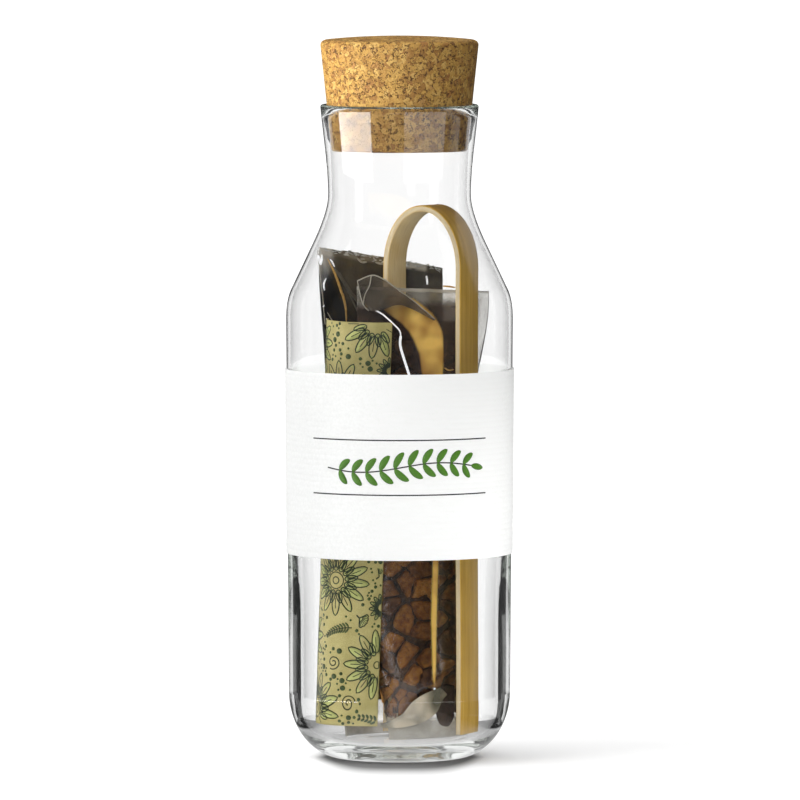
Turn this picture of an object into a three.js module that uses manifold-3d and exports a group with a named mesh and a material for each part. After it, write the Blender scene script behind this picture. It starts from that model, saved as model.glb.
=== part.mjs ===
// A terrarium kit in a corked glass bottle.
//
// A round-shouldered glass bottle with a thick foot stands on z = 0, on its own axis. A tapered cork
// closes it, a paper band goes round its body, and it holds the makings of a small planted jar: a clear
// bag of soil, a clear bag of drainage chips, a curved sheet of printed paper and bent bamboo tongs.
// Millimetres, +Z up. The front of the object faces -Y.

import * as THREE from 'three';
import { mergeVertices } from 'three/addons/utils/BufferGeometryUtils.js';
import Module from 'manifold-3d';

const wasm = await Module();
wasm.setup();

// ---------------------------------------------------------------- driving dimensions

const GAP = 0.3; // air between two pieces that touch

// Bottle: outside radii and heights, from the foot up
const PUNT_RADIUS = 13.5;
const PUNT_RISE = 1.4;
const PUNT_BEND = 0.7; // share of the push-up's radius where its side bends down
const HEEL_ACROSS = 21.5;
const HEEL_HEIGHT = 27;
const FOOT_RADIUS = 44.7;
const BODY_RADIUS = 45.75;
const BODY_TOP = 177.6;
const CONE_FOOT = { radius: 43.6, height: 189.6 };
const CONE_HEAD = { radius: 34.8, height: 208.2 };
const NECK_RADIUS = 28.8;
const NECK_HEIGHT = 227.6;
const LIP_RADIUS = 31.9;
const LIP_ROUND = 1.0;
const LIP_LEAN = 1; // how far the flare still widens on its last stretch
const FLARE_STRETCH = 12; // length of the flare's first and last stretch
const BOTTLE_HEIGHT = 264.0;

// Bottle: inside, where the wall is thick at the foot and thin from the label up
const FLOOR_HEIGHT = 7;
const INNER_HEEL_ACROSS = 12;
const INNER_HEEL_HEIGHT = 15;
const FOOT_WALL = 5.1;
const THICK_WALL_TOP = 45;
const THIN_WALL_FOOT = 125;
const THIN_WALL = 1.6;
const WALL_BEND_FOOT = 70; // between these two heights most of the wall's thinning takes place
const WALL_BEND_HEAD = 90;
const WALL_BEND_OUT = 0.6;
const SEAT_RISE = 1; // the neck's seat for the cork starts this much above the cork's foot
const SEAT_BEND = 8;

// Cork: a cone with a crowned top
const CORK_FOOT = 245.6;
const CORK_TOP = 291.6;
const CORK_FOOT_RADIUS = 27.5;
const CORK_TAPER = 0.104; // growth of the radius for each millimetre of height
const CORK_CROWN = 1.8;
const CORK_ROUND = 2.2;
const CORK_CHAMFER = 0.7;
const CORK_EDGE_RISE = 0.3; // the round edge starts and ends this much below and above the crown's foot

// Label band round the body
const LABEL_FOOT = 83;
const LABEL_TOP = 157.6;
const PAPER = 0.35;

// Tongs: one bent strip of bamboo
const STRIP_THICKNESS = 2.5;
const STRIP_WIDTH = 14;
const LEG_SPACING = 34.2; // between the middles of the two legs
const TONGS_FOOT = 10.5;
const TONGS_TOP = 223.6;
const BOW_HEIGHT = 26; // from the top of the straight legs to the top of the bend
const TONGS_CENTRE = new THREE.Vector2(12.5, -1.4);
const TONGS_TURN = THREE.MathUtils.degToRad(-32);

// Printed sheet: its plan from its right edge in front to its left edge, and where and how it leans
const SHEET_PLAN = [
  [-3.6, -19.3],
  [-12, -21.4],
  [-21.5, -20.2],
  [-27.2, -14.3],
  [-29.6, -6.2],
  [-29.2, -0.6],
].map(([x, y]) => new THREE.Vector2(x, y));
const SHEET_PLACE = new THREE.Vector3(-3.3, 0.6, 14.9);
const SHEET_HEIGHT = 162;
const SHEET_LEAN = THREE.MathUtils.degToRad(1.4);
const SHEET_FOOT_ROLL = 0.925; // the foot is rolled up to this share of the top's width
const SHEET_ROLL_EDGE = -29.6; // the x that the roll tightens towards, at the left edge

// Clear bags: film thickness and the lines that their two side edges and middle follow in plan
const FILM = 0.3;
const SEAL = 0.1; // half the slit that is left inside a pressed seal
const BAG_FOOT = FLOOR_HEIGHT + GAP;
const FILLING_GAP = 0.45;
const BAG_FLAT_HALF_WIDTH = 26;
const LENS_POWER = 0.6; // how steeply the belly falls off to its side edges
const BELLY_PULL = 0.1; // share of the flat width that a full belly draws in
const FILL_FOOT = 0.05; // share of the height where the foot seal ends
const FILL_RISE = 0.12; // share of the height in which the belly grows
const LEAST_FULL = 0.1; // the filling ends where the bag is less full than this
const FOOT_BLEND_END = 0.3; // the foot's lines have turned into the body's at this share of the height
const TOP_BLEND_START = 0.55; // and the body's start turning into the top's at this one
const BAG_LEVELS = [0, 0.05, 0.08, 0.12, 0.17, 0.25, 0.36, 0.47, 0.58, 0.68, 0.76, 0.83, 0.89, 0.94, 1];

const SOIL_BAG = {
  foot: { left: [-21.5, -5], middle: [-14, 20], right: [13, 20], leftZ: BAG_FOOT, rightZ: BAG_FOOT },
  body: { left: [-28.8, 1.5], middle: [-17.5, 26.6], right: [20, 25] },
  top: { left: [-32.6, 2.5], middle: [-10, 19], right: [17.5, 24], leftZ: 206.8, rightZ: 197.1 },
  thickness: 8.4,
  heavySide: -0.35, // the filling leans to this side edge
  fillTop: 0.95,
  fillFall: 0.3,
};

const CHIPS_BAG = {
  foot: { left: [-4.2, -17], middle: [12, -16], right: [27.2, 0], leftZ: BAG_FOOT, rightZ: BAG_FOOT },
  body: { left: [-19, -12], middle: [6, -9.4], right: [30, 5] },
  top: { left: [-17.1, -10], middle: [8, -6], right: [36.2, 6], leftZ: 191.1, rightZ: 188.4 },
  thickness: 9.6,
  heavySide: 0,
  fillTop: 0.97,
  fillFall: 0.2,
};

// Drainage chips: rows of stones that fill their bag
const CHIP_ROWS = 16;
const CHIPS_IN_ROW = 3;
const CHIP_CLEARANCE = 0.25; // taken off each side of each chip
const CHIP_REACH = 45; // a chip further off than this can't be a neighbour
const CHIP_SPREAD = 0.6; // from the middle chip of a row to its neighbours, as a share of half the width
const CHIP_ROW_SHIFT = 0.12;
const CHIP_SHAKE = 0.16;
const CHIP_RISE_SHAKE = 0.5;
const CHIP_LEAST_DEPTH = 0.25; // off the bag's middle sheet, as a share of the way to the film
const CHIP_DEPTH_RANGE = 0.3;
const CHIP_SEED = 11;
const RANDOM_FACTOR = 1664525; // each number of the repeatable source comes from the one before it
const RANDOM_STEP = 1013904223;
const RANDOM_RANGE = 2 ** 32;

// Facets
const ROUND_STEPS = 40;
const CURVE_STEPS = 4;
const BOW_STEPS = 10;
const SHEET_STEPS = 20;
const BAG_SIDE_POINTS = 11;

// ---------------------------------------------------------------- colours and materials

const MATERIALS = {
  glass: { color: 0xeaf1ef, roughness: 0.05, metalness: 0, transparent: true, opacity: 0.3 },
  cork: { color: 0xc79a62, roughness: 0.85, metalness: 0 },
  whitePaper: { color: 0xf4f4f2, roughness: 0.8, metalness: 0 },
  printedPaper: { color: 0xc8b96e, roughness: 0.7, metalness: 0 },
  film: { color: 0xcfc6b4, roughness: 0.15, metalness: 0, transparent: true, opacity: 0.3 },
  soil: { color: 0x1d1916, roughness: 0.95, metalness: 0 },
  chips: { color: 0x8a4a24, roughness: 0.9, metalness: 0 },
  bamboo: { color: 0xb08d47, roughness: 0.55, metalness: 0 },
};

function material(kind) {
  return new THREE.MeshStandardMaterial(MATERIALS[kind]);
}

const terrariumKit = new THREE.Group();

function addPiece(name, geometry, kind) {
  const piece = new THREE.Mesh(geometry, material(kind));
  piece.name = name;
  terrariumKit.add(piece);
  return piece;
}

// ---------------------------------------------------------------- turned pieces

// Turns a profile of (radius, height) points round the Z axis.
function turned(profile) {
  return new THREE.LatheGeometry(profile, ROUND_STEPS).rotateX(Math.PI / 2);
}

// Radius of the bottle's straight side at a height between the heel and the shoulder.
function sideRadius(height) {
  return THREE.MathUtils.mapLinear(height, HEEL_HEIGHT, BODY_TOP, FOOT_RADIUS, BODY_RADIUS);
}

function corkRadius(height) {
  return CORK_FOOT_RADIUS + CORK_TAPER * (height - CORK_FOOT);
}

// The shoulder and neck, as two soft bends joined by a cone, standing `wall` inside the outer face.
function addShoulder(path, wall) {
  const slope = (CONE_FOOT.radius - CONE_HEAD.radius) / (CONE_HEAD.height - CONE_FOOT.height);
  const bodyCorner = CONE_FOOT.height - (BODY_RADIUS - CONE_FOOT.radius) / slope;
  const neckCorner = CONE_HEAD.height + (CONE_HEAD.radius - NECK_RADIUS) / slope;
  path.quadraticCurveTo(BODY_RADIUS - wall, bodyCorner, CONE_FOOT.radius - wall, CONE_FOOT.height);
  path.lineTo(CONE_HEAD.radius - wall, CONE_HEAD.height);
  path.quadraticCurveTo(NECK_RADIUS - wall, neckCorner, NECK_RADIUS - wall, NECK_HEIGHT);
}

function bottleOutside() {
  const path = new THREE.Path();
  path.moveTo(0, PUNT_RISE);
  path.quadraticCurveTo(PUNT_RADIUS * PUNT_BEND, PUNT_RISE, PUNT_RADIUS, 0);
  path.lineTo(FOOT_RADIUS - HEEL_ACROSS, 0);
  path.absellipse(
    FOOT_RADIUS - HEEL_ACROSS, HEEL_HEIGHT, HEEL_ACROSS, HEEL_HEIGHT, -Math.PI / 2, 0, false, 0,
  );
  path.lineTo(BODY_RADIUS, BODY_TOP);
  addShoulder(path, 0);
  const lipFoot = BOTTLE_HEIGHT - LIP_ROUND;
  path.bezierCurveTo(
    NECK_RADIUS, NECK_HEIGHT + FLARE_STRETCH, LIP_RADIUS - LIP_LEAN, lipFoot - FLARE_STRETCH,
    LIP_RADIUS, lipFoot,
  );
  path.absarc(LIP_RADIUS - LIP_ROUND, lipFoot, LIP_ROUND, 0, Math.PI / 2, false);
  return path.getPoints(CURVE_STEPS);
}

// The inner face is drawn from the floor up and then reversed, so that the profile goes on downwards.
function bottleInside() {
  const footRadius = FOOT_RADIUS - FOOT_WALL;
  const heelRadius = footRadius - INNER_HEEL_ACROSS;
  const heelTop = FLOOR_HEIGHT + INNER_HEEL_HEIGHT;
  const thinFoot = sideRadius(THIN_WALL_FOOT) - THIN_WALL;
  const seatFoot = CORK_FOOT + SEAT_RISE;
  const path = new THREE.Path();
  path.moveTo(0, FLOOR_HEIGHT);
  path.lineTo(heelRadius, FLOOR_HEIGHT);
  path.absellipse(
    heelRadius, heelTop, INNER_HEEL_ACROSS, INNER_HEEL_HEIGHT, -Math.PI / 2, 0, false, 0,
  );
  path.lineTo(sideRadius(THICK_WALL_TOP) - FOOT_WALL, THICK_WALL_TOP);
  path.bezierCurveTo(
    footRadius + WALL_BEND_OUT, WALL_BEND_FOOT, thinFoot, WALL_BEND_HEAD, thinFoot, THIN_WALL_FOOT,
  );
  path.lineTo(BODY_RADIUS - THIN_WALL, BODY_TOP);
  addShoulder(path, THIN_WALL);
  path.quadraticCurveTo(
    NECK_RADIUS - THIN_WALL, NECK_HEIGHT + SEAT_BEND, corkRadius(seatFoot) + GAP, seatFoot,
  );
  path.lineTo(corkRadius(BOTTLE_HEIGHT - LIP_ROUND) + GAP, BOTTLE_HEIGHT - LIP_ROUND);
  return path.getPoints(CURVE_STEPS).reverse();
}

addPiece('glass_bottle', turned([...bottleOutside(), ...bottleInside()]), 'glass');

function corkProfile() {
  const shoulder = CORK_TOP - CORK_CROWN;
  const rim = corkRadius(shoulder);
  const path = new THREE.Path();
  path.moveTo(0, CORK_FOOT);
  path.lineTo(CORK_FOOT_RADIUS - CORK_CHAMFER, CORK_FOOT);
  path.lineTo(CORK_FOOT_RADIUS, CORK_FOOT + CORK_CHAMFER);
  path.lineTo(corkRadius(shoulder - CORK_ROUND), shoulder - CORK_ROUND);
  path.quadraticCurveTo(rim, shoulder - CORK_EDGE_RISE, rim - CORK_ROUND, shoulder + CORK_EDGE_RISE);
  path.quadraticCurveTo(rim / 2, CORK_TOP, 0, CORK_TOP);
  return path.getPoints(CURVE_STEPS);
}

addPiece('cork_stopper', turned(corkProfile()), 'cork');

function labelProfile() {
  const inner = (height) => sideRadius(height) + GAP;
  return [
    [inner(LABEL_FOOT), LABEL_FOOT],
    [inner(LABEL_FOOT) + PAPER, LABEL_FOOT],
    [inner(LABEL_TOP) + PAPER, LABEL_TOP],
    [inner(LABEL_TOP), LABEL_TOP],
    [inner(LABEL_FOOT), LABEL_FOOT],
  ].map(([radius, height]) => new THREE.Vector2(radius, height));
}

addPiece('label_band', turned(labelProfile()), 'whitePaper');

// ---------------------------------------------------------------- tongs and printed sheet

// The strip's side view: two legs and a half-oval bow, as one U of even thickness.
function tongsOutline() {
  const outer = (LEG_SPACING + STRIP_THICKNESS) / 2;
  const inner = (LEG_SPACING - STRIP_THICKNESS) / 2;
  const spring = TONGS_TOP - BOW_HEIGHT;
  const outline = new THREE.Shape();
  outline.moveTo(-outer, TONGS_FOOT);
  outline.lineTo(-inner, TONGS_FOOT);
  outline.lineTo(-inner, spring);
  outline.absellipse(0, spring, inner, BOW_HEIGHT - STRIP_THICKNESS, Math.PI, 0, true, 0);
  outline.lineTo(inner, TONGS_FOOT);
  outline.lineTo(outer, TONGS_FOOT);
  outline.lineTo(outer, spring);
  outline.absellipse(0, spring, outer, BOW_HEIGHT, 0, Math.PI, false, 0);
  outline.closePath();
  return outline;
}

const tongsGeometry = new THREE.ExtrudeGeometry(tongsOutline(), {
  depth: STRIP_WIDTH,
  bevelEnabled: false,
  curveSegments: BOW_STEPS,
});
tongsGeometry.translate(0, 0, -STRIP_WIDTH / 2).rotateX(Math.PI / 2);
const tongs = addPiece('bamboo_tongs', tongsGeometry, 'bamboo');
tongs.position.set(TONGS_CENTRE.x, TONGS_CENTRE.y, 0);
tongs.rotation.z = TONGS_TURN;

// The sheet's plan with a paper's thickness, as a closed outline to raise to the sheet's height.
function sheetOutline() {
  const middle = new THREE.SplineCurve(SHEET_PLAN).getPoints(SHEET_STEPS);
  const offset = (side) => middle.map((point, index) => {
    const before = middle[Math.max(index - 1, 0)];
    const after = middle[Math.min(index + 1, middle.length - 1)];
    const along = after.clone().sub(before).normalize();
    return new THREE.Vector2(point.x - along.y * side, point.y + along.x * side);
  });
  return new THREE.Shape([...offset(-PAPER / 2), ...offset(PAPER / 2).reverse()]);
}

// Rolls the raised sheet a little tighter towards its foot.
function rollFoot(geometry) {
  const place = geometry.attributes.position;
  for (let index = 0; index < place.count; index += 1) {
    const roll = THREE.MathUtils.lerp(SHEET_FOOT_ROLL, 1, place.getZ(index) / SHEET_HEIGHT);
    place.setX(index, SHEET_ROLL_EDGE + (place.getX(index) - SHEET_ROLL_EDGE) * roll);
  }
  geometry.computeVertexNormals();
  return geometry;
}

const sheetGeometry = rollFoot(new THREE.ExtrudeGeometry(sheetOutline(), {
  depth: SHEET_HEIGHT,
  bevelEnabled: false,
}));
const sheet = addPiece('printed_sheet', sheetGeometry, 'printedPaper');
sheet.rotation.y = SHEET_LEAN;
sheet.position.copy(SHEET_PLACE);

// ---------------------------------------------------------------- bags

function mix(from, to, share) {
  return from.map((value, index) => value + (to[index] - value) * share);
}

// A bag's lines at a share of its height: foot to body in the lowest part, then body to top.
function bagLines(bag, share) {
  const low = THREE.MathUtils.smoothstep(share, 0, FOOT_BLEND_END);
  const high = THREE.MathUtils.smoothstep(share, TOP_BLEND_START, 1);
  const blend = (key) => mix(mix(bag.foot[key], bag.body[key], low), bag.top[key], high);
  return { left: blend('left'), middle: blend('middle'), right: blend('right') };
}

// How full the bag is at a share of its height, from 0 in the seals to 1 at the belly.
function fullness(bag, share) {
  const rise = THREE.MathUtils.smoothstep(share, FILL_FOOT, FILL_FOOT + FILL_RISE);
  const fall = 1 - THREE.MathUtils.smoothstep(share, bag.fillTop - bag.fillFall, bag.fillTop);
  return rise * fall;
}

// A point of the bag: `across` runs from -1 at the left edge to 1 at the right one, `side` is -1 on
// the front sheet and 1 on the back one, and `inset` is taken off every outer face.
function bagPoint(bag, across, side, share, inset) {
  const { left, middle, right } = bagLines(bag, share);
  const full = fullness(bag, share);
  const pull = across * (1 - BELLY_PULL * full - inset / BAG_FLAT_HALF_WIDTH);
  const t = (pull + 1) / 2;
  const a = (1 - t) * (1 - t);
  const b = 2 * t * (1 - t);
  const c = t * t;
  const x = a * left[0] + b * middle[0] + c * right[0];
  const y = a * left[1] + b * middle[1] + c * right[1];
  const along = new THREE.Vector2(
    (1 - t) * (middle[0] - left[0]) + t * (right[0] - middle[0]),
    (1 - t) * (middle[1] - left[1]) + t * (right[1] - middle[1]),
  ).normalize();
  const bulge = bag.thickness * (1 + bag.heavySide * across) * full;
  const lens = bulge * Math.pow(Math.max(1 - across * across, 0), LENS_POWER);
  const half = Math.max(lens + SEAL + FILM - inset, SEAL);
  const footZ = THREE.MathUtils.lerp(bag.foot.leftZ, bag.foot.rightZ, t);
  const topZ = THREE.MathUtils.lerp(bag.top.leftZ, bag.top.rightZ, t);
  return new THREE.Vector3(
    x - along.y * half * side,
    y + along.x * half * side,
    THREE.MathUtils.lerp(footZ, topZ, share),
  );
}

// One ring of the bag, along the front sheet and back along the rear one.
function bagRing(bag, share, inset) {
  const ring = [];
  for (const side of [-1, 1]) {
    for (let step = 0; step < BAG_SIDE_POINTS; step += 1) {
      const across = side * Math.cos((Math.PI * step) / (BAG_SIDE_POINTS - 1));
      ring.push(bagPoint(bag, across, side, share, inset));
    }
  }
  return ring;
}

// Joins rings into one closed skin. Each end is closed straight across, from front to rear. From the
// row `turn` on, the rings run down inside the earlier ones, and each four-cornered patch is halved
// along the same diagonal as the patch outside it, so the two skins stay one film apart.
function skin(rings, turn = rings.length) {
  const count = rings[0].length;
  const positions = rings.flat().flatMap((point) => [point.x, point.y, point.z]);
  const index = [];
  for (let row = 0; row < rings.length - 1; row += 1) {
    for (let column = 0; column < count; column += 1) {
      const next = (column + 1) % count;
      const low = row * count;
      const high = low + count;
      if (row < turn) {
        index.push(low + column, low + next, high + next);
        index.push(low + column, high + next, high + column);
      } else {
        index.push(low + column, low + next, high + column);
        index.push(low + next, high + next, high + column);
      }
    }
  }
  const last = (rings.length - 1) * count;
  for (let step = 0; step < count / 2 - 1; step += 1) {
    const back = count - 1 - step;
    index.push(step, back, step + 1, step + 1, back, back - 1);
    index.push(last + step, last + step + 1, last + back);
    index.push(last + step + 1, last + back - 1, last + back);
  }
  const geometry = new THREE.BufferGeometry();
  geometry.setAttribute('position', new THREE.Float32BufferAttribute(positions, 3));
  geometry.setIndex(index);
  geometry.computeVertexNormals();
  return geometry;
}

// The film: up the outside, over the open top edge and down the inside to the pressed foot seal.
function filmSkin(bag) {
  const outside = BAG_LEVELS.map((share) => bagRing(bag, share, 0));
  const inside = BAG_LEVELS.slice(1).reverse().map((share) => bagRing(bag, share, FILM));
  return skin([...outside, ...inside], outside.length);
}

function filledLevels(bag) {
  return BAG_LEVELS.filter((share) => fullness(bag, share) > LEAST_FULL);
}

// What the bag holds, clear of the film on every side.
function filling(bag) {
  return skin(filledLevels(bag).map((share) => bagRing(bag, share, FILM + FILLING_GAP)));
}

addPiece('soil_bag_film', filmSkin(SOIL_BAG), 'film');
addPiece('potting_soil', filling(SOIL_BAG), 'soil');
addPiece('chips_bag_film', filmSkin(CHIPS_BAG), 'film');

// ---------------------------------------------------------------- drainage chips

// A repeatable source of numbers between 0 and 1.
function makeRandom(seed) {
  let state = seed;
  return () => {
    state = (state * RANDOM_FACTOR + RANDOM_STEP) % RANDOM_RANGE;
    return state / RANDOM_RANGE;
  };
}

// The middle of each chip: rows of three up the bag, each row shifted and shaken.
function chipMiddles(bag) {
  const random = makeRandom(CHIP_SEED);
  const levels = filledLevels(bag);
  const middles = [];
  for (let row = 0; row < CHIP_ROWS; row += 1) {
    for (let column = 0; column < CHIPS_IN_ROW; column += 1) {
      const shift = row % 2 === 0 ? CHIP_ROW_SHIFT : -CHIP_ROW_SHIFT;
      const across = CHIP_SPREAD * (column - 1) + shift + CHIP_SHAKE * (random() - 0.5);
      const side = (row + column) % 2 === 0 ? -1 : 1;
      const depth = side * (CHIP_LEAST_DEPTH + CHIP_DEPTH_RANGE * random());
      const rise = (row + 0.5 + CHIP_RISE_SHAKE * (random() - 0.5)) / CHIP_ROWS;
      const share = THREE.MathUtils.lerp(levels[0], levels[levels.length - 1], rise);
      const front = bagPoint(bag, across, -1, share, FILM);
      const rear = bagPoint(bag, across, 1, share, FILM);
      middles.push(front.lerp(rear, 0.5 + 0.5 * depth));
    }
  }
  return middles;
}

function toSolid(geometry) {
  const bare = geometry.clone();
  bare.deleteAttribute('normal');
  const merged = mergeVertices(bare);
  return new wasm.Manifold(new wasm.Mesh({
    numProp: 3,
    vertProperties: new Float32Array(merged.attributes.position.array),
    triVerts: new Uint32Array(merged.index.array),
  }));
}

function toGeometry(solid) {
  const mesh = solid.getMesh();
  const geometry = new THREE.BufferGeometry();
  geometry.setAttribute('position', new THREE.BufferAttribute(mesh.vertProperties, 3));
  geometry.setIndex(new THREE.BufferAttribute(mesh.triVerts, 1));
  geometry.computeVertexNormals();
  return geometry;
}

// A chip is the part of the filling that is nearer to its own middle than to any other, less a
// clearance, so the chips pack the bag as broken stones do.
function chipSolid(body, middles, own) {
  let solid = body;
  middles.forEach((other, index) => {
    const away = other.clone().sub(middles[own]);
    if (index === own || away.length() > CHIP_REACH) {
      return;
    }
    const distance = away.length() / 2 - CHIP_CLEARANCE;
    const normal = away.normalize().negate();
    solid = solid.trimByPlane(normal.toArray(), normal.dot(middles[own]) - distance);
  });
  const pieces = solid.decompose();
  return pieces.reduce((largest, piece) => (piece.volume() > largest.volume() ? piece : largest));
}

const chipsBody = toSolid(filling(CHIPS_BAG));
const middles = chipMiddles(CHIPS_BAG);
middles.forEach((_, index) => {
  const name = `drainage_chip_${String(index + 1).padStart(2, '0')}`;
  addPiece(name, toGeometry(chipSolid(chipsBody, middles, index)), 'chips');
});

export default terrariumKit;
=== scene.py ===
# %% [markdown]
# # A terrarium kit in a corked glass bottle
#
# A clear bottle with a thick foot and a cork holds what a small planted jar is made from: a bag of
# potting soil, a bag of drainage chips, a printed sheet and bent bamboo tongs. This notebook gives the
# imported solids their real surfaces. Nearly every piece is replaced by a finer one that is worked out
# with numpy from the same driving sizes, so each new piece fills exactly the place of the old one.

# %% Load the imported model
import math

import bmesh
import bpy
import numpy as np
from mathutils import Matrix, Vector


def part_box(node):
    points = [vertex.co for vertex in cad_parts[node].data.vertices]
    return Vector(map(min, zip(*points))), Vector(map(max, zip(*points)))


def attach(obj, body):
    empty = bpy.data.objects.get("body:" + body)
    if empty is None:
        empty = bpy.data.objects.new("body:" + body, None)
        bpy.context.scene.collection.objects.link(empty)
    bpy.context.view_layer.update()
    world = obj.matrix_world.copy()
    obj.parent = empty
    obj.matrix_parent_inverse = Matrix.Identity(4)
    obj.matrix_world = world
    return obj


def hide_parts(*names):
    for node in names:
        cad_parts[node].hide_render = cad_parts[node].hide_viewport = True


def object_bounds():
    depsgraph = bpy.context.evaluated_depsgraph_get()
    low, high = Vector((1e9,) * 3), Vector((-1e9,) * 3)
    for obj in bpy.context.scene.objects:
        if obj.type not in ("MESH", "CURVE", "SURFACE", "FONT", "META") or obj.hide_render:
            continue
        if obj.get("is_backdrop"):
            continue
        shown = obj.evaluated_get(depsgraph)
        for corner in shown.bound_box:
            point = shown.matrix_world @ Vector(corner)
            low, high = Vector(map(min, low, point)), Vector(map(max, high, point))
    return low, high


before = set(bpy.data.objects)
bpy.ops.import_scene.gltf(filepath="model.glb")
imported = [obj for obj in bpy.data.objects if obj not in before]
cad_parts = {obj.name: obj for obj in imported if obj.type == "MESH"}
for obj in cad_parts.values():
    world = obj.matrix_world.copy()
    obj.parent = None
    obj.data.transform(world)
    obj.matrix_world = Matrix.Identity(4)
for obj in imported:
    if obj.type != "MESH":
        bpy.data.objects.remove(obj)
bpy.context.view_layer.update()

MM = 0.001

# %% [markdown]
# ## Camera
#
# The photograph was taken from far away with a long lens: the lip of the bottle is seen from only about
# two degrees above and the foot from about five. Both follow from one camera 4.6 m away at a height of
# 0.44 m. The lens is set from the size that one pixel covers at the bottle's axis.

# %% Camera
PIXEL = 0.4028 * MM          # size of a pixel at the bottle's axis
FRAME_PIXELS = 800
CAMERA_DISTANCE = 4.6
CAMERA_HEIGHT = 0.44
FOOT_ROW = 759.0             # row where the axis meets the floor, in the 800 pixel frame
AXIS_COLUMN = 399.5
SENSOR = 36.0

aim = Vector((
    (FRAME_PIXELS / 2 - AXIS_COLUMN) * PIXEL,
    0.0,
    (FOOT_ROW - FRAME_PIXELS / 2) * PIXEL,
))
camera_data = bpy.data.cameras.new("camera")
camera_data.sensor_width = SENSOR
camera_data.lens = SENSOR * CAMERA_DISTANCE / (FRAME_PIXELS * PIXEL)
camera_data.clip_end = 30.0
camera = bpy.data.objects.new("camera", camera_data)
scene = bpy.context.scene
scene.collection.objects.link(camera)
camera.location = (aim.x, -CAMERA_DISTANCE, CAMERA_HEIGHT)
camera.rotation_euler = (aim - camera.location).to_track_quat("-Z", "Y").to_euler()
scene.camera = camera
print("lens:", round(camera_data.lens), "mm")

# %% [markdown]
# ## Node helpers
#
# Materials and the world are node trees. One helper adds a node, sets its options and fills its inputs,
# either with numbers or by linking another node's output. The others give the steps that come up again
# and again: arithmetic, a soft threshold, a choice, a ramp of colours and noise.

# %% Node helpers


def add(tree, kind, inputs=None, output=0, **options):
    """Adds one node and returns one of its outputs. Inputs map a socket's name or number to a value or
    to another node's output."""
    node = tree.nodes.new("ShaderNode" + kind)
    for key, value in options.items():
        setattr(node, key, value)
    for key, value in (inputs or {}).items():
        if isinstance(value, bpy.types.NodeSocket):
            tree.links.new(value, node.inputs[key])
        else:
            node.inputs[key].default_value = value
    return node if output is None else node.outputs[output]


def calc(tree, operation, first, second=0.0):
    """Arithmetic on two numbers."""
    return add(tree, "Math", {0: first, 1: second}, operation=operation)


def times(tree, first, second):
    """The product of two numbers."""
    return calc(tree, "MULTIPLY", first, second)


def over(tree, value, limit=0.5):
    """1 where the value is over the limit, else 0."""
    return calc(tree, "GREATER_THAN", value, limit)


def under(tree, value, limit=0.5):
    """1 where the value is under the limit, else 0."""
    return calc(tree, "LESS_THAN", value, limit)


def choose(tree, chosen, first, second):
    """Takes the second number where chosen is 1, else the first."""
    return add(tree, "Mix", {"Factor": chosen, "A": first, "B": second}, "Result", data_type="FLOAT")


def soft(tree, value, low, high, to_low=0.0, to_high=1.0):
    """A smooth step: to_low below low, to_high above high, an S-curve between."""
    sockets = {"Value": value, "From Min": low, "From Max": high, "To Min": to_low, "To Max": to_high}
    return add(tree, "MapRange", sockets, "Result", interpolation_type="SMOOTHSTEP")


def colours(tree, value, *stops):
    """A colour ramp from (place, (red, green, blue)) stops."""
    node = tree.nodes.new("ShaderNodeValToRGB")
    ramp = node.color_ramp
    while len(ramp.elements) < len(stops):
        ramp.elements.new(0.5)
    for element, (place, colour) in zip(ramp.elements, stops):
        element.position = place
        element.color = (*colour, 1)
    tree.links.new(value, node.inputs[0])
    return node.outputs[0]


def blend(tree, amount, first, second, mode="MIX"):
    """Mixes two colours, or multiplies, adds or lightens with mode."""
    node = tree.nodes.new("ShaderNodeMix")
    node.data_type = "RGBA"
    node.blend_type = mode
    for socket, value in zip((node.inputs[0], node.inputs[6], node.inputs[7]), (amount, first, second)):
        if isinstance(value, bpy.types.NodeSocket):
            tree.links.new(value, socket)
        elif isinstance(value, tuple):
            socket.default_value = (*value, 1)
        else:
            socket.default_value = value
    return node.outputs[2]


def new_material(name, **values):
    """A Principled material. Values are set on the shader's own sockets."""
    material = bpy.data.materials.new(name)
    material.use_nodes = True
    tree = material.node_tree
    shader = tree.nodes["Principled BSDF"]
    for key, value in values.items():
        shader.inputs[key.replace("_", " ")].default_value = value
    print("material:", name)
    return material, tree, shader


def noise(tree, place, scale, detail=4.0, roughness=0.55, output="Fac"):
    """A cloudy pattern. Scale counts its lumps in a metre."""
    sockets = {"Vector": place, "Scale": scale, "Detail": detail, "Roughness": roughness}
    return add(tree, "TexNoise", sockets, output)


def bump(tree, shader, height, strength, distance):
    """Lets a pattern tilt the shading as if it stood `distance` metres proud."""
    sockets = {"Height": height, "Strength": strength, "Distance": distance}
    tree.links.new(add(tree, "Bump", sockets, "Normal"), shader.inputs["Normal"])


# %% [markdown]
# ## Light for clear glass
#
# Clear glass shows only what is round it. In front of an even white room it would vanish, so a
# photographer stands white cards with dark gaps between them: the straight view through the bottle meets
# white, while the rounded edges bend the view aside into a dark gap and are drawn as thin grey lines.
# The world shader makes a ring of four such cards, so that the glass is drawn from every side. Light that
# runs inside one wall from end to end, and only that, sees the dark gaps: wide ones below the level of
# the band, where the wall is thick, and narrow grey ones above it. All other light sees plain white.
# What the outer face of the glass mirrors is a dark room with only two low cards in it, and what the
# films inside mirror is a dark room with a few narrow upright cards. Rays that come straight from the
# camera see plain white.
#
# Light that falls on the things themselves is soft and comes mostly from the left. Inside the bottle it
# is stronger, and light that shines through the paper comes from a brighter backdrop. These kinds of
# light are told apart by the depths of the light path. Its transmission depth counts two for each wall
# of glass that a ray has passed.

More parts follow.
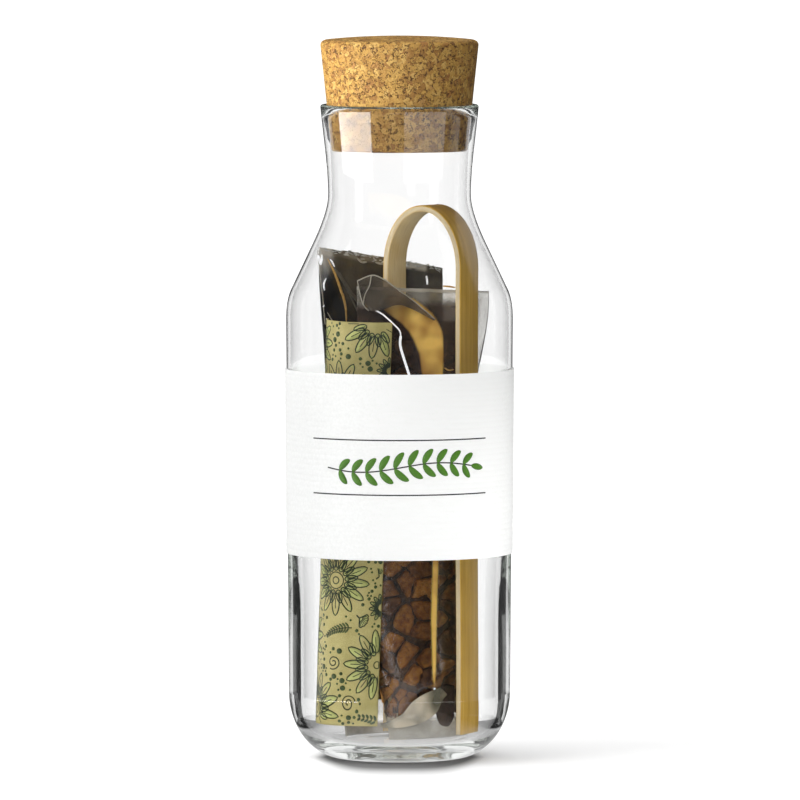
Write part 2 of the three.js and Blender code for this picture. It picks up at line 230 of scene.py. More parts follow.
# %% Sizes of the cards
CARD_COUNT = 4.0
CARD_WHITE = 1.13
GAP_GREY = 0.05
RIM_GREY = 0.25              # what draws the thin outline of the upper walls
RIM_EDGE = (0.8, 0.35)       # soft edges of the cards, on a cosine wave that runs round the horizon
NEAR_EDGE = (0.05, 0.5)
GAP_MIDDLE_EDGE = (-0.85, -1.0)
LOW_ZONE_TOP, LOW_ZONE_FOOT = (-0.064, -0.074), (-0.75, -0.6)      # heights on the unit sphere
SHADE_IN_FRONT = 0.2         # of the cards, as the inner face of the front wall mirrors them
FRONT_EDGE = (-0.2, 0.2)
BACKDROP_WHITE = 1.2
MIRRORED_GREY = 0.04
LOW_KEY = dict(middle=-73, half_width=29, top=-0.135, foot=-0.28, brightness=11.0)
LOW_FILL = dict(middle=40, half_width=33, top=-0.135, foot=-0.28, brightness=2.5)
GLINT_GREY = 0.04
GLINT_CARDS = (
    dict(middle=-62, half_width=5, top=0.75, foot=-0.7, brightness=6.0),
    dict(middle=-20, half_width=2, top=0.6, foot=-0.2, brightness=4.0),
    dict(middle=75, half_width=6, top=0.6, foot=-0.6, brightness=3.0),
)
CARD_SOFTNESS = 0.01
SOFT_LEFT, SOFT_RIGHT, SOFT_REACH = 1.6, 0.08, 0.9
INSIDE_GAIN = 1.85           # light on the contents, to make up for what the walls take
BACKDROP_THROUGH_PAPER = 3.2
WALL_DEPTH = 3.5             # over this transmission depth a ray has passed two walls

# %% Ring of cards
scene.view_settings.view_transform = "Standard"
world = bpy.data.worlds.new("studio")
scene.world = world
world.use_nodes = True
tree = world.node_tree
tree.nodes.clear()
direction = add(tree, "TexCoord", output="Generated")
east, north, up = add(tree, "SeparateXYZ", {0: direction}, output=None).outputs
wave = calc(tree, "COSINE", times(tree, calc(tree, "ARCTAN2", north, east), CARD_COUNT))
rim_cards = soft(tree, wave, *RIM_EDGE, RIM_GREY, 1.0)
near_cards = calc(tree, "MAXIMUM", soft(tree, wave, *NEAR_EDGE), soft(tree, wave, *GAP_MIDDLE_EDGE))
low_zone = times(tree, soft(tree, up, *LOW_ZONE_TOP), soft(tree, up, *LOW_ZONE_FOOT))
print("cards in the ring:", int(CARD_COUNT))

# %% Rooms that the glass and the film mirror


def shine_card(room, middle, half_width, top, foot, brightness):
    """Puts a bright card in a dark room. Middle is its azimuth from the camera's side in degrees, top
    and foot are heights on the unit sphere."""
    ahead = math.radians(middle)
    facing = calc(tree, "ADD", times(tree, east, math.sin(ahead)), times(tree, north, -math.cos(ahead)))
    flat = calc(tree, "SQRT", calc(tree, "SUBTRACT", 1.0, times(tree, up, up)))
    edge = math.cos(math.radians(half_width))
    inside = soft(tree, calc(tree, "DIVIDE", facing, flat), edge - CARD_SOFTNESS, edge + CARD_SOFTNESS)
    level = times(tree, soft(tree, up, top, top - 2 * CARD_SOFTNESS),
                  soft(tree, up, foot, foot + 2 * CARD_SOFTNESS))
    return calc(tree, "ADD", room, times(tree, times(tree, inside, level), brightness))


mirrored, glinting = MIRRORED_GREY, GLINT_GREY
for lamp in (LOW_KEY, LOW_FILL):
    mirrored = shine_card(mirrored, **lamp)
for lamp in GLINT_CARDS:
    glinting = shine_card(glinting, **lamp)
print("low cards: 2, narrow cards:", len(GLINT_CARDS))

# %% What each kind of ray sees
path = add(tree, "LightPath", output=None).outputs
crossed = path["Transmission Depth"]
glossy = over(tree, path["Glossy Depth"])
indoors = over(tree, crossed, WALL_DEPTH)
in_one_wall = times(tree, glossy, under(tree, crossed, WALL_DEPTH))
outer_mirror = times(tree, glossy, under(tree, crossed))
inner_mirror = times(tree, glossy, indoors)
through_paper = over(tree, calc(tree, "MODULO", crossed, 2.0))      # an odd count
scattered = over(tree, path["Diffuse Depth"])

card = choose(tree, in_one_wall, 1.0, choose(tree, low_zone, rim_cards, near_cards))
ring = soft(tree, card, 0, 1, GAP_GREY, CARD_WHITE)
behind = soft(tree, north, *FRONT_EDGE, SHADE_IN_FRONT, 1.0)
ring = times(tree, ring, choose(tree, in_one_wall, 1.0, behind))
softened = soft(tree, east, -SOFT_REACH, SOFT_REACH, SOFT_LEFT, SOFT_RIGHT)
softened = times(tree, softened, choose(tree, indoors, 1.0, INSIDE_GAIN))
strength = choose(tree, outer_mirror, ring, mirrored)
strength = choose(tree, inner_mirror, strength, glinting)
strength = choose(tree, through_paper, strength, BACKDROP_THROUGH_PAPER)
strength = choose(tree, scattered, strength, softened)
strength = choose(tree, path["Is Camera Ray"], strength, BACKDROP_WHITE)
background = add(tree, "Background", {"Color": (1, 1, 1, 1), "Strength": strength})
add(tree, "OutputWorld", {"Surface": background}, output=None)
print("world nodes:", len(tree.nodes))

# %% [markdown]
# Two big soft boxes stand above the bottle. The one on the left is the key light. The one in front on
# the right is weaker and lifts the shadows. Two small ones with narrow beams touch up a single place
# each: the low one on the right keeps the paper band white there while the cork stays in shade, and
# the one on the left brightens the cork's left edge.

# %% Soft boxes


def soft_box(name, azimuth, distance, height, aim_height, size, brightness, spread=180):
    """A flat lamp at an azimuth from the camera's side, facing the axis, that the glass doesn't mirror.
    A lamp of radiance L and area A gives off pi times L times A watts. Spread is the angle of its
    beam in degrees."""
    lamp = bpy.data.lights.new(name, "AREA")
    lamp.shape = "RECTANGLE"
    lamp.size, lamp.size_y = size
    lamp.energy = math.pi * brightness * size[0] * size[1]
    lamp.spread = math.radians(spread)
    box = bpy.data.objects.new(name, lamp)
    scene.collection.objects.link(box)
    angle = math.radians(azimuth)
    box.location = (distance * math.sin(angle), -distance * math.cos(angle), height)
    towards = Vector((0.0, 0.0, aim_height)) - box.location
    box.rotation_euler = towards.to_track_quat("-Z", "Y").to_euler()
    box.visible_camera = box.visible_transmission = box.visible_glossy = False
    print(name, "at", [round(v, 2) for v in box.location], "energy", round(lamp.energy, 1))


soft_box("key_light", -62, 0.9, 1.0, 0.2, (0.8, 0.8), 2.6)
soft_box("fill_light", 20, 1.2, 1.1, 0.15, (0.8, 0.8), 1.5)
soft_box("band_light", 72, 0.4, 0.06, 0.1, (0.12, 0.08), 2.6, spread=45)
soft_box("cork_light", -75, 0.5, 0.34, 0.28, (0.12, 0.12), 1.3, spread=24)

# %% [markdown]
# ## Making surfaces with numpy
#
# Nearly every piece is a grid: rows and columns of points that a formula places, joined by four-cornered
# faces. One helper turns such an array of points into a mesh. It can close the columns into a ring,
# cap the ends and lay a UV map in metres, so that a material's pattern keeps its real scale.

# %% Grid helpers


def show(mesh, name, material, slot, *nodes):
    """Makes a mesh a piece with the given material that rides on the root body and stands for CAD nodes.
    The slot is not used."""
    mesh.materials.append(material)
    mesh.polygons.foreach_set("use_smooth", np.ones(len(mesh.polygons), bool))
    piece = bpy.data.objects.new(name, mesh)
    scene.collection.objects.link(piece)
    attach(piece, "root")
    if nodes:
        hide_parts(*nodes)
    print("piece:", name, "faces:", len(mesh.polygons))


def give(mesh, key, values):
    """Gives each point of a mesh a number that a material can read as an attribute."""
    mesh.attributes.new(key, "FLOAT", "POINT").data.foreach_set("value", values)


def close_up(mesh, reach=1e-7):
    """Merges doubled points, drops faces with no area and turns all faces outwards."""
    work = bmesh.new()
    work.from_mesh(mesh)
    bmesh.ops.remove_doubles(work, verts=work.verts, dist=reach)
    bmesh.ops.dissolve_degenerate(work, edges=work.edges, dist=reach)
    bmesh.ops.recalc_face_normals(work, faces=work.faces)
    work.to_mesh(mesh)
    work.free()


def grid_faces(rows, columns, ring):
    """Corner numbers of the faces between a grid's rows and columns, as (faces, 4)."""
    steps = columns if ring else columns - 1
    row, column = np.meshgrid(np.arange(rows - 1), np.arange(steps), indexing="ij")
    after = (column + 1) % columns
    corners = [row * columns + column, row * columns + after,
               (row + 1) * columns + after, (row + 1) * columns + column]
    return np.stack(corners, axis=-1).reshape(-1, 4), row.ravel(), column.ravel()


def grid_mesh(name, points, u=None, v=None, ring=False, capped=False):
    """Joins a (rows, columns, 3) array of points into faces. A ring joins the last column to the first,
    and caps close the first and last row. The UV map takes u along the columns and v along the rows."""
    rows, columns = points.shape[:2]
    quads, row, column = grid_faces(rows, columns, ring)
    faces = quads.tolist()
    if capped:
        faces += [list(range(columns))[::-1], list(range((rows - 1) * columns, rows * columns))]
    mesh = bpy.data.meshes.new(name)
    mesh.from_pydata(points.reshape(-1, 3), [], faces)
    if u is not None:
        left, right, low, high = u[column], u[column + 1], v[row], v[row + 1]
        corners = np.stack([left, low, right, low, right, high, left, high], axis=-1).ravel()
        flat = np.zeros(len(mesh.loops) * 2)
        flat[:len(corners)] = corners
        mesh.uv_layers.new(name="UVMap").data.foreach_set("uv", flat)
    return mesh


def lengths(path):
    """Distance walked along a path of points, starting at 0."""
    return np.concatenate([[0], np.cumsum(np.linalg.norm(np.diff(path, axis=0), axis=1))])


def turned_mesh(name, profile, angle, relief=None):
    """Turns a profile of (radius, height) points round Z, through the given angles. Relief is an
    optional function of the (rows, steps, 3) points: how far each one stands proud of the profile."""
    radius, height = profile[:, :1], profile[:, 1:]
    points = np.stack([radius * np.cos(angle), radius * np.sin(angle),
                       np.broadcast_to(height, (len(profile), len(angle)))], axis=-1)
    if relief is not None:
        along = np.gradient(profile, axis=0)
        along /= np.linalg.norm(along, axis=1)[:, None]
        out = np.stack([along[:, 1:] * np.cos(angle), along[:, 1:] * np.sin(angle),
                        np.broadcast_to(-along[:, :1], radius.shape[:1] + angle.shape)], axis=-1)
        points = points + relief(points)[..., None] * out * (radius[..., None] > 0)
    around = np.append(angle, angle[0] + 2 * np.pi) * profile[:, 0].max()
    mesh = grid_mesh(name, points, around, lengths(profile), ring=True)
    close_up(mesh)
    return mesh


def whole_turn(steps):
    """Evenly spaced angles of one turn, the last of them one step before the first."""
    return np.linspace(0, 2 * np.pi, steps, endpoint=False)


# %% [markdown]
# Outlines are made of straight stretches, soft bends and parts of ovals. Each helper returns an array of
# (radius, height) points, and an outline is such arrays one after the other. The sizes are in
# millimetres, as on a workshop drawing, and turn into metres in the last step.

# %% Outline helpers


def straight(start, end, steps=1):
    """Evenly spaced points of a straight stretch."""
    t = np.linspace(0, 1, steps + 1)[:, None]
    return (1 - t) * np.asarray(start) + t * np.asarray(end)


def bend(start, corner, end, steps=16):
    """A quadratic curve: it leaves start towards corner and arrives at end from corner."""
    t = np.linspace(0, 1, steps + 1)[:, None]
    start, corner, end = map(np.asarray, (start, corner, end))
    return (1 - t) ** 2 * start + 2 * t * (1 - t) * corner + t ** 2 * end


def cubic(start, first, second, end, steps):
    """A cubic curve: it leaves start towards the first corner and arrives at end from the second."""
    t = np.linspace(0, 1, steps + 1)[:, None]
    return ((1 - t) ** 3 * start + 3 * t * (1 - t) ** 2 * first
            + 3 * t ** 2 * (1 - t) * second + t ** 3 * end)


def circle(angle):
    """Points of the unit circle at the given angles, as (..., 2)."""
    return np.stack([np.cos(angle), np.sin(angle)], axis=-1)


def oval(centre, reach, first, last, steps=24):
    """Points of an oval from one angle to another, in degrees."""
    return np.asarray(centre) + np.asarray(reach) * circle(np.radians(np.linspace(first, last, steps + 1)))


def outline(*stretches):
    """Joins stretches that are given in millimetres, drops doubled points and gives metres."""
    points = np.vstack(stretches)
    keep = np.append(np.linalg.norm(np.diff(points, axis=0), axis=1) > 1e-6, True)
    return points[keep] * MM


def smoothstep(value, low, high):
    """0 below low, 1 above high, and an S-curve between."""
    t = np.clip((value - low) / (high - low), 0, 1)
    return t * t * (3 - 2 * t)


def lattice(cell, seed):
    """A repeatable number from 0 to 1 for each whole-numbered place (..., 3)."""
    mixed = (cell[..., 0] * 73856093) ^ (cell[..., 1] * 19349663)
    mixed = mixed ^ (cell[..., 2] * 83492791) ^ (seed * 2654435)
    mixed = (mixed ^ (mixed >> 13)) * 1274126177 & 0x7FFFFFFF
    return ((mixed ^ (mixed >> 16)) & 0xFFFF) / 0xFFFF


def lumps(points, size, seed=0):
    """Smooth noise from 0 to 1 whose lumps are `size` wide: random values on a lattice, blended between
    the eight corners round each point."""
    place = points / size
    base = np.floor(place).astype(np.int64)
    t = place - base
    t = t * t * (3 - 2 * t)
    total = 0
    for corner in np.ndindex(2, 2, 2):
        weight = np.prod(np.where(corner, t, 1 - t), axis=-1)
        total = total + weight * lattice(base + corner, seed)
    return total


# %% [markdown]
# ## Glass
#
# Clear glass is a Principled surface with full transmission and no roughness. Real bottle glass takes a
# little light away along its path, so it looks clear face on and grey-green along its edges: a Volume
# Absorption shader does that by distance travelled.

# %% Glass material
glass, tree, shader = new_material("bottle_glass", Roughness=0.0, IOR=1.5, Transmission_Weight=1.0)
shader.inputs["Base Color"].default_value = (1, 1, 1, 1)
absorbed = add(tree, "VolumeAbsorption", {"Color": (0.87, 0.89, 0.87, 1), "Density": 12.0})
tree.links.new(absorbed, tree.nodes["Material Output"].inputs["Volume"])

# %% [markdown]
# ## Bottle
#
# The bottle is one turned wall. Its outline runs from the middle of the underside, round the heel, up the
# body, over the shoulder and neck to the lip, and back down the inside to the middle of the floor. From
# the band upwards the wall is less than two millimetres thick, and at the foot it is five, as the dark
# edges in the photograph show.

# %% Bottle sizes in millimetres
PUNT_RADIUS, PUNT_RISE = 13.5, 1.4
HEEL_ACROSS, HEEL_HEIGHT = 21.5, 27
FOOT_RADIUS, BODY_RADIUS, BODY_TOP = 44.7, 45.75, 177.6
CONE_FOOT, CONE_HEAD = (43.6, 189.6), (34.8, 208.2)
NECK_RADIUS, NECK_HEIGHT = 28.8, 227.6
LIP_RADIUS, LIP_ROUND, BOTTLE_HEIGHT = 31.9, 1.0, 264.0
FLOOR_HEIGHT = 7.0
INNER_HEEL_ACROSS, INNER_HEEL_HEIGHT = 12, 15
FOOT_WALL, THICK_WALL_TOP = 5.1, 45
THIN_WALL, THIN_WALL_FOOT = 1.6, 125
CORK_FOOT, CORK_TOP = 245.6, 291.6
CORK_FOOT_RADIUS, CORK_TAPER = 27.5, 0.104
GAP = 0.3                               # between pieces that fit into or round each other


def side_radius(height):
    """Radius of the straight side, which widens a little from the heel to the shoulder."""
    share = (height - HEEL_HEIGHT) / (BODY_TOP - HEEL_HEIGHT)
    return FOOT_RADIUS + (BODY_RADIUS - FOOT_RADIUS) * share


def cork_radius(height):
    """Radius of the cork's cone, which widens evenly with its height."""
    return CORK_FOOT_RADIUS + CORK_TAPER * (height - CORK_FOOT)


def shoulder(wall):
    """Two soft bends joined by a cone, standing `wall` inside the outer face."""
    slope = (CONE_FOOT[0] - CONE_HEAD[0]) / (CONE_HEAD[1] - CONE_FOOT[1])
    body_corner = CONE_FOOT[1] - (BODY_RADIUS - CONE_FOOT[0]) / slope
    neck_corner = CONE_HEAD[1] + (CONE_HEAD[0] - NECK_RADIUS) / slope
    return np.vstack([
        bend((BODY_RADIUS, BODY_TOP), (BODY_RADIUS, body_corner), CONE_FOOT),
        bend(CONE_HEAD, (NECK_RADIUS, neck_corner), (NECK_RADIUS, NECK_HEIGHT)),
    ]) - np.array([wall, 0])


def flare():
    """The outside of the neck from its upright waist to the flared lip, a cubic curve."""
    waist, lip = np.array((NECK_RADIUS, NECK_HEIGHT)), np.array((LIP_RADIUS, BOTTLE_HEIGHT - LIP_ROUND))
    return cubic(waist, waist + (0, 12), lip - (1, 12), lip, 24)


def side_curve():
    """The inside where the thick foot wall thins out, a cubic curve."""
    thick = np.array((side_radius(THICK_WALL_TOP) - FOOT_WALL, THICK_WALL_TOP))
    thin = np.array((side_radius(THIN_WALL_FOOT) - THIN_WALL, THIN_WALL_FOOT))
    return cubic(thick, np.array((40.2, 70)), np.array((thin[0], 90)), thin, 32)


# %% Bottle
lip_foot = BOTTLE_HEIGHT - LIP_ROUND
outside = [
    bend((0, PUNT_RISE), (PUNT_RADIUS * 0.7, PUNT_RISE), (PUNT_RADIUS, 0), 10),
    oval((FOOT_RADIUS - HEEL_ACROSS, HEEL_HEIGHT), (HEEL_ACROSS, HEEL_HEIGHT), -90, 0, 40),
    shoulder(0),
    flare(),
    oval((LIP_RADIUS - LIP_ROUND, lip_foot), (LIP_ROUND, LIP_ROUND), 0, 90, 8),
]
inner_foot = FOOT_RADIUS - FOOT_WALL
seat_foot = (cork_radius(CORK_FOOT + 1) + GAP, CORK_FOOT + 1)
inside = [
    straight((0, FLOOR_HEIGHT), (inner_foot - INNER_HEEL_ACROSS, FLOOR_HEIGHT), 4),
    oval((inner_foot - INNER_HEEL_ACROSS, FLOOR_HEIGHT + INNER_HEEL_HEIGHT),
         (INNER_HEEL_ACROSS, INNER_HEEL_HEIGHT), -90, 0, 24),
    side_curve(),
    shoulder(THIN_WALL),
    bend((NECK_RADIUS - THIN_WALL, NECK_HEIGHT), (NECK_RADIUS - THIN_WALL, NECK_HEIGHT + 8), seat_foot),
    straight(seat_foot, (cork_radius(lip_foot) + GAP, lip_foot), 4),
]
bottle_outline = outline(*outside, *[stretch[::-1] for stretch in inside[::-1]])
bottle_mesh = turned_mesh("bottle", bottle_outline, whole_turn(192))
show(bottle_mesh, "bottle", glass, "bottle_glass", "glass_bottle")
print("bottle outline points:", len(bottle_outline))

# %% [markdown]
# ## Cork
#
# The stopper is pressed from crumbs of cork two to four millimetres wide. Each crumb has its own tan, a
# few are reddish or dark, and small pits open between them. A Voronoi pattern gives each crumb its tone;
# the thin dark marks are its borders, broken up by noise. The pits are real dents in the mesh.

# %% Cork material
CRUMBS_PER_METRE, SPECKS_PER_METRE = 430.0, 1000.0
cork, tree, shader = new_material("pressed_cork", Roughness=0.5)
place = add(tree, "TexCoord", output="Object")
wobble = noise(tree, place, 420, 2, output="Color")
bent = blend(tree, 0.006, place, wobble, "ADD")
crumb = {"Vector": bent, "Scale": CRUMBS_PER_METRE, "Randomness": 1.0}
tone = add(tree, "TexVoronoi", crumb, "Color")
edge = add(tree, "TexVoronoi", crumb, "Distance", feature="DISTANCE_TO_EDGE")
grain = noise(tree, place, 1500, 5, 0.7)
patches = noise(tree, place, 620, 2)
one_tone, other_tone = add(tree, "SeparateColor", {0: tone}, output=None).outputs[:2]
tan = colours(tree, one_tone, (0.0, (0.35, 0.17, 0.040)), (0.35, (0.49, 0.27, 0.062)),
              (0.7, (0.56, 0.325, 0.075)), (1.0, (0.64, 0.40, 0.115)))
russet = soft(tree, other_tone, 0.88, 0.95, 0.0, 0.45)
tan = blend(tree, russet, tan, (0.36, 0.15, 0.05))
grainy = colours(tree, grain, (0.3, (0.5, 0.42, 0.36)), (0.6, (1, 1, 1)))
tan = blend(tree, 0.55, tan, grainy, "MULTIPLY")
crack = times(tree, soft(tree, edge, 0.1, 0.03), soft(tree, patches, 0.5, 0.56))
specks = add(tree, "TexVoronoi", {"Vector": bent, "Scale": SPECKS_PER_METRE}, "Distance")
speckled = soft(tree, noise(tree, place, 700, 2), 0.5, 0.58)
dark = calc(tree, "MAXIMUM", crack, times(tree, soft(tree, specks, 0.34, 0.22), speckled))
tan = blend(tree, times(tree, dark, 0.92), tan, (0.085, 0.035, 0.012))
tree.links.new(tan, shader.inputs["Base Color"])
bump(tree, shader, calc(tree, "SUBTRACT", grain, times(tree, dark, 1.5)), 0.7, 0.0004)

# %% Cork
CORK_CROWN, CORK_ROUND, CORK_CHAMFER = 1.8, 2.2, 0.7
PIT_DEPTH, PIT_EDGE, GRAIN_DEPTH = 0.32, (0.62, 0.85), 0.05
crown_foot = CORK_TOP - CORK_CROWN
crown_radius = cork_radius(crown_foot)
cork_outline = outline(
    straight((0, CORK_FOOT), (CORK_FOOT_RADIUS - CORK_CHAMFER, CORK_FOOT), 30),
    straight((CORK_FOOT_RADIUS, CORK_FOOT + CORK_CHAMFER),
             (cork_radius(crown_foot - CORK_ROUND), crown_foot - CORK_ROUND), 60),
    bend((cork_radius(crown_foot - CORK_ROUND), crown_foot - CORK_ROUND), (crown_radius, crown_foot - 0.3),
         (crown_radius - CORK_ROUND, crown_foot + 0.3), 6),
    bend((crown_radius - CORK_ROUND, crown_foot + 0.3), (crown_radius / 2, CORK_TOP), (0, CORK_TOP), 40),
)


def cork_pits(points):
    """Dents between the crumbs: only the deepest parts of two noises count, at most a third of a
    millimetre."""
    coarse = lumps(points, 1.6 * MM, 1)
    fine = lumps(points, 0.8 * MM, 2)
    pits = smoothstep(coarse * 0.6 + fine * 0.4, *PIT_EDGE)
    return -PIT_DEPTH * MM * pits - GRAIN_DEPTH * MM * fine


cork_mesh = turned_mesh("cork", cork_outline, whole_turn(300), cork_pits)
show(cork_mesh, "cork", cork, "cork", "cork_stopper")
print("cork outline points:", len(cork_outline))

# %% [markdown]
# ## Ink strokes
#
# Printing is modelled as what it is: a thin film of ink on paper. One helper lays strokes on any surface.
# A stroke is a path with a half width at each of its points, so that the same helper draws a thin
# line (even width), a leaf (wide in the middle) and a dot (as wide as it is long). Each stroke becomes
# a flat closed bar a few hundredths of a millimetre thick.

# %% Stroke helpers
STROKE_POINTS = 17
STROKE_SUNK = -0.01                     # its lower edges lie just under the surface, in millimetres


def resample(path, count=STROKE_POINTS):
    """Spreads `count` points evenly along a path."""
    path = np.asarray(path, float)
    walked = lengths(path)
    even = np.linspace(0, walked[-1], count)
    return np.stack([np.interp(even, walked, path[:, axis]) for axis in (0, 1)], axis=-1)


def stroke(path, width, leaf=0.0):
    """A path and its half widths. Leaf 0 keeps the width even, leaf 1 swells it like a leaf: the half
    width follows the square root of a sine."""
    path = resample(path)
    t = np.linspace(0, 1, STROKE_POINTS)
    swell = np.sqrt(np.sin(np.pi * np.clip(t, 0.004, 0.996)))
    return path, width / 2 * ((1 - leaf) + leaf * swell)


def lay_strokes(name, strokes, surface, proud):
    """Lays all strokes on a surface at once. Surface maps (..., 2) places and a height above the paper
    to points. The bar's four long edges stand half a width to both sides, just below and above."""
    paths = np.stack([path for path, half in strokes])
    halves = np.stack([half for path, half in strokes])[..., None]
    along = np.gradient(paths, axis=1)
    along /= np.linalg.norm(along, axis=-1, keepdims=True) + 1e-12
    side = np.stack([-along[..., 1], along[..., 0]], axis=-1) * halves
    edges = [surface(paths - side, STROKE_SUNK), surface(paths + side, STROKE_SUNK),
             surface(paths + side, proud), surface(paths - side, proud)]
    points = np.stack(edges, axis=2)
    count, rows = points.shape[:2]
    quads, _, _ = grid_faces(rows, 4, True)
    caps = np.array([[3, 2, 1, 0], [rows * 4 - 4, rows * 4 - 3, rows * 4 - 2, rows * 4 - 1]])
    faces = np.vstack([quads, caps])
    faces = (faces[None] + (np.arange(count) * rows * 4)[:, None, None]).reshape(-1, 4)
    mesh = bpy.data.meshes.new(name)
    mesh.from_pydata(points.reshape(-1, 3) * MM, [], faces.tolist())
    close_up(mesh)
    print(name, "strokes:", count)
    return mesh


# %% [markdown]
# ## Paper band
#
# The band is white laid paper: fine ribs run round it, about two millimetres apart. It is a ring with its
# ends overlapped at the back, where one more layer shows. The ribs are in the mesh. Some light shines
# through the paper, and a painted glow, emission that an attribute of the mesh sets, makes its inner face
# at the back shine, and its front a little.

# %% Paper material
PAPER_SHEER = 0.4            # share of the light that shines through the paper
# Painted glow: the paper's emission stands in for light that soaks through it from behind.
PAINTED_GLOW_STRENGTH = 1.1              # how strongly the paper shines where light soaks through
FRONT_PAINTED_GLOW, FRONT_TURN = 0.31, math.radians(25)         # its share at the front, brightest on the right
paper, tree, shader = new_material("white_paper", Roughness=0.65)
place = add(tree, "TexCoord", output="Object")
fibres = noise(tree, place, 900, 4, 0.65)
flecks = colours(tree, fibres, (0.35, (0.81, 0.815, 0.81)), (0.65, (0.86, 0.865, 0.86)))
tree.links.new(flecks, shader.inputs["Base Color"])
bump(tree, shader, fibres, 0.25, 0.0001)
glow = add(tree, "BsdfTranslucent", {"Color": flecks})
# The painted glow: emission in the paper's own colour, as strong as the attribute says.
painted_glow = add(tree, "Attribute", attribute_name="painted_glow", output="Fac")
tree.links.new(flecks, shader.inputs["Emission Color"])
tree.links.new(times(tree, painted_glow, PAINTED_GLOW_STRENGTH), shader.inputs["Emission Strength"])
sheer = add(tree, "MixShader", {0: PAPER_SHEER, 1: shader.outputs[0], 2: glow})
tree.links.new(sheer, tree.nodes["Material Output"].inputs["Surface"])

# %% Paper band
LABEL_FOOT, LABEL_TOP, PAPER = 83, 157.6, 0.35
RIB_PITCH, RIB_DEPTH, RIB_ROWS = 2.2, 0.12, 240
SEAM_ANGLE = np.pi / 2                  # at the back, +Y
SEAM_REACH, SEAM_EDGE = 0.24, 0.004     # half the overlap and the width of its edge, in radians
SEAM_STEP = 0.3
heights = np.linspace(LABEL_FOOT, LABEL_TOP, RIB_ROWS)
rib = np.abs(np.sin(np.pi * (heights - LABEL_FOOT) / RIB_PITCH))
ribbed = np.stack([side_radius(heights) + GAP + PAPER - RIB_DEPTH * (1 - rib) ** 2, heights], axis=-1)
smooth = [(side_radius(height) + GAP, height) for height in (LABEL_TOP, LABEL_FOOT)]
band_outline = outline(ribbed, smooth, ribbed[:1])


def overlap(points):
    """The second layer at the back: a step of one paper's thickness on the outer face."""
    away = np.abs(np.arctan2(points[..., 1], points[..., 0]) - SEAM_ANGLE)
    middle = (side_radius(points[..., 2] / MM) + GAP + PAPER / 2) * MM
    outer = np.hypot(points[..., 0], points[..., 1]) > middle
    return SEAM_STEP * MM * (1 - smoothstep(away, SEAM_REACH, SEAM_REACH + SEAM_EDGE)) * outer


seam_edges = [SEAM_ANGLE + side * (SEAM_REACH + step)
              for side in (-1, 1) for step in (0, SEAM_EDGE / 2, SEAM_EDGE)]
band_angles = np.sort(np.concatenate([whole_turn(180), np.mod(seam_edges, 2 * np.pi)]))
band_mesh = turned_mesh("paper_band", band_outline, band_angles, overlap)
spots = np.array([vertex.co[:] for vertex in band_mesh.vertices]) / MM
inner = np.hypot(spots[:, 0], spots[:, 1]) < side_radius(spots[:, 2]) + GAP + PAPER / 3
# Painted glow: full on the inner face at the back, and a share of it on the front, brightest on the right.
facing = np.cos(np.arctan2(spots[:, 0], -spots[:, 1]) - FRONT_TURN)
painted_glow_inside, painted_glow_front = smoothstep(spots[:, 1], -10, 25), FRONT_PAINTED_GLOW * smoothstep(facing, 0.1, 0.95)
give(band_mesh, "painted_glow", np.where(inner, painted_glow_inside, painted_glow_front))
show(band_mesh, "paper_band", paper, "label_paper", "label_band")

# %% [markdown]
# The photographed band carries a printed title. This one has a plain ornament of the same size and
# colours instead: a sprig of leaves between two thin rules.

# %% Sprig on the band


def ink(name, low, high, glow=0.0):
    """A colour that varies a little from place to place, for print and for painted glints. Glow makes it
    shine by itself, as a painted highlight.
    """
    material, tree, shader = new_material(name, Roughness=0.55, Emission_Strength=glow)
    place = add(tree, "TexCoord", output="Object")
    varied = colours(tree, noise(tree, place, 1200, 3), (0.3, low), (0.7, high))
    tree.links.new(varied, shader.inputs["Base Color"])
    tree.links.new(varied, shader.inputs["Emission Color"])
    return material


green_ink = ink("green_ink", (0.055, 0.16, 0.012), (0.075, 0.2, 0.02))
black_ink = ink("black_ink", (0.012, 0.012, 0.012), (0.03, 0.03, 0.03))
BAND_MIDDLE = (LABEL_FOOT + LABEL_TOP) / 2


def on_band(place, proud):
    """Wraps (sideways, upwards) millimetres round the front of the band: the angle is the sideways
    length over the radius."""
    radius = side_radius(BAND_MIDDLE + place[..., 1]) + GAP + PAPER + proud
    angle = place[..., 0] / radius
    return np.stack([radius * np.sin(angle), -radius * np.cos(angle), BAND_MIDDLE + place[..., 1]], axis=-1)


def leaf_pair(foot, heading, length, width, spread=50):
    """Two leaves that leave a stem at an angle to its heading, as two swelling strokes."""
    leaves = []
    for side in (-1, 1):
        turn = np.radians(heading + side * spread)
        tip = np.asarray(foot) + length * circle(turn)
        bow = np.asarray(foot) + length * 0.55 * circle(turn + side * 0.3)
        leaves.append(stroke(bend(foot, bow, tip, 16), width, leaf=1.0))
    return leaves


STEM_REACH, STEM_WAVE, STEM_PITCH = 31, 1.9, 10.5
RULE_REACH, RULE_HEIGHT, RULE_WIDTH = 39, 11, 0.5
stem_x = np.linspace(-STEM_REACH, STEM_REACH, 33)
stem = np.stack([stem_x, STEM_WAVE * np.sin(stem_x / STEM_PITCH)], axis=-1)
leaves, lines = [], [stroke(stem[:17], RULE_WIDTH), stroke(stem[16:], RULE_WIDTH)]
for index in range(3, 31, 3):
    heading = np.degrees(np.arctan(STEM_WAVE / STEM_PITCH * np.cos(stem_x[index] / STEM_PITCH)))
    leaves += leaf_pair(stem[index], heading, 7.6 - 0.05 * abs(stem_x[index]), 2.8)
leaves.append(stroke(straight(stem[-1], stem[-1] + [6.2, -1.2], 16), 2.6, leaf=1.0))
for height in (-RULE_HEIGHT, RULE_HEIGHT):
    lines.append(stroke(straight((-RULE_REACH, height), (RULE_REACH, height), 16), RULE_WIDTH))
show(lay_strokes("band_leaves", leaves, on_band, 0.03), "band_leaves", green_ink, "label_paper")
show(lay_strokes("band_lines", lines, on_band, 0.03), "band_lines", black_ink, "label_paper")

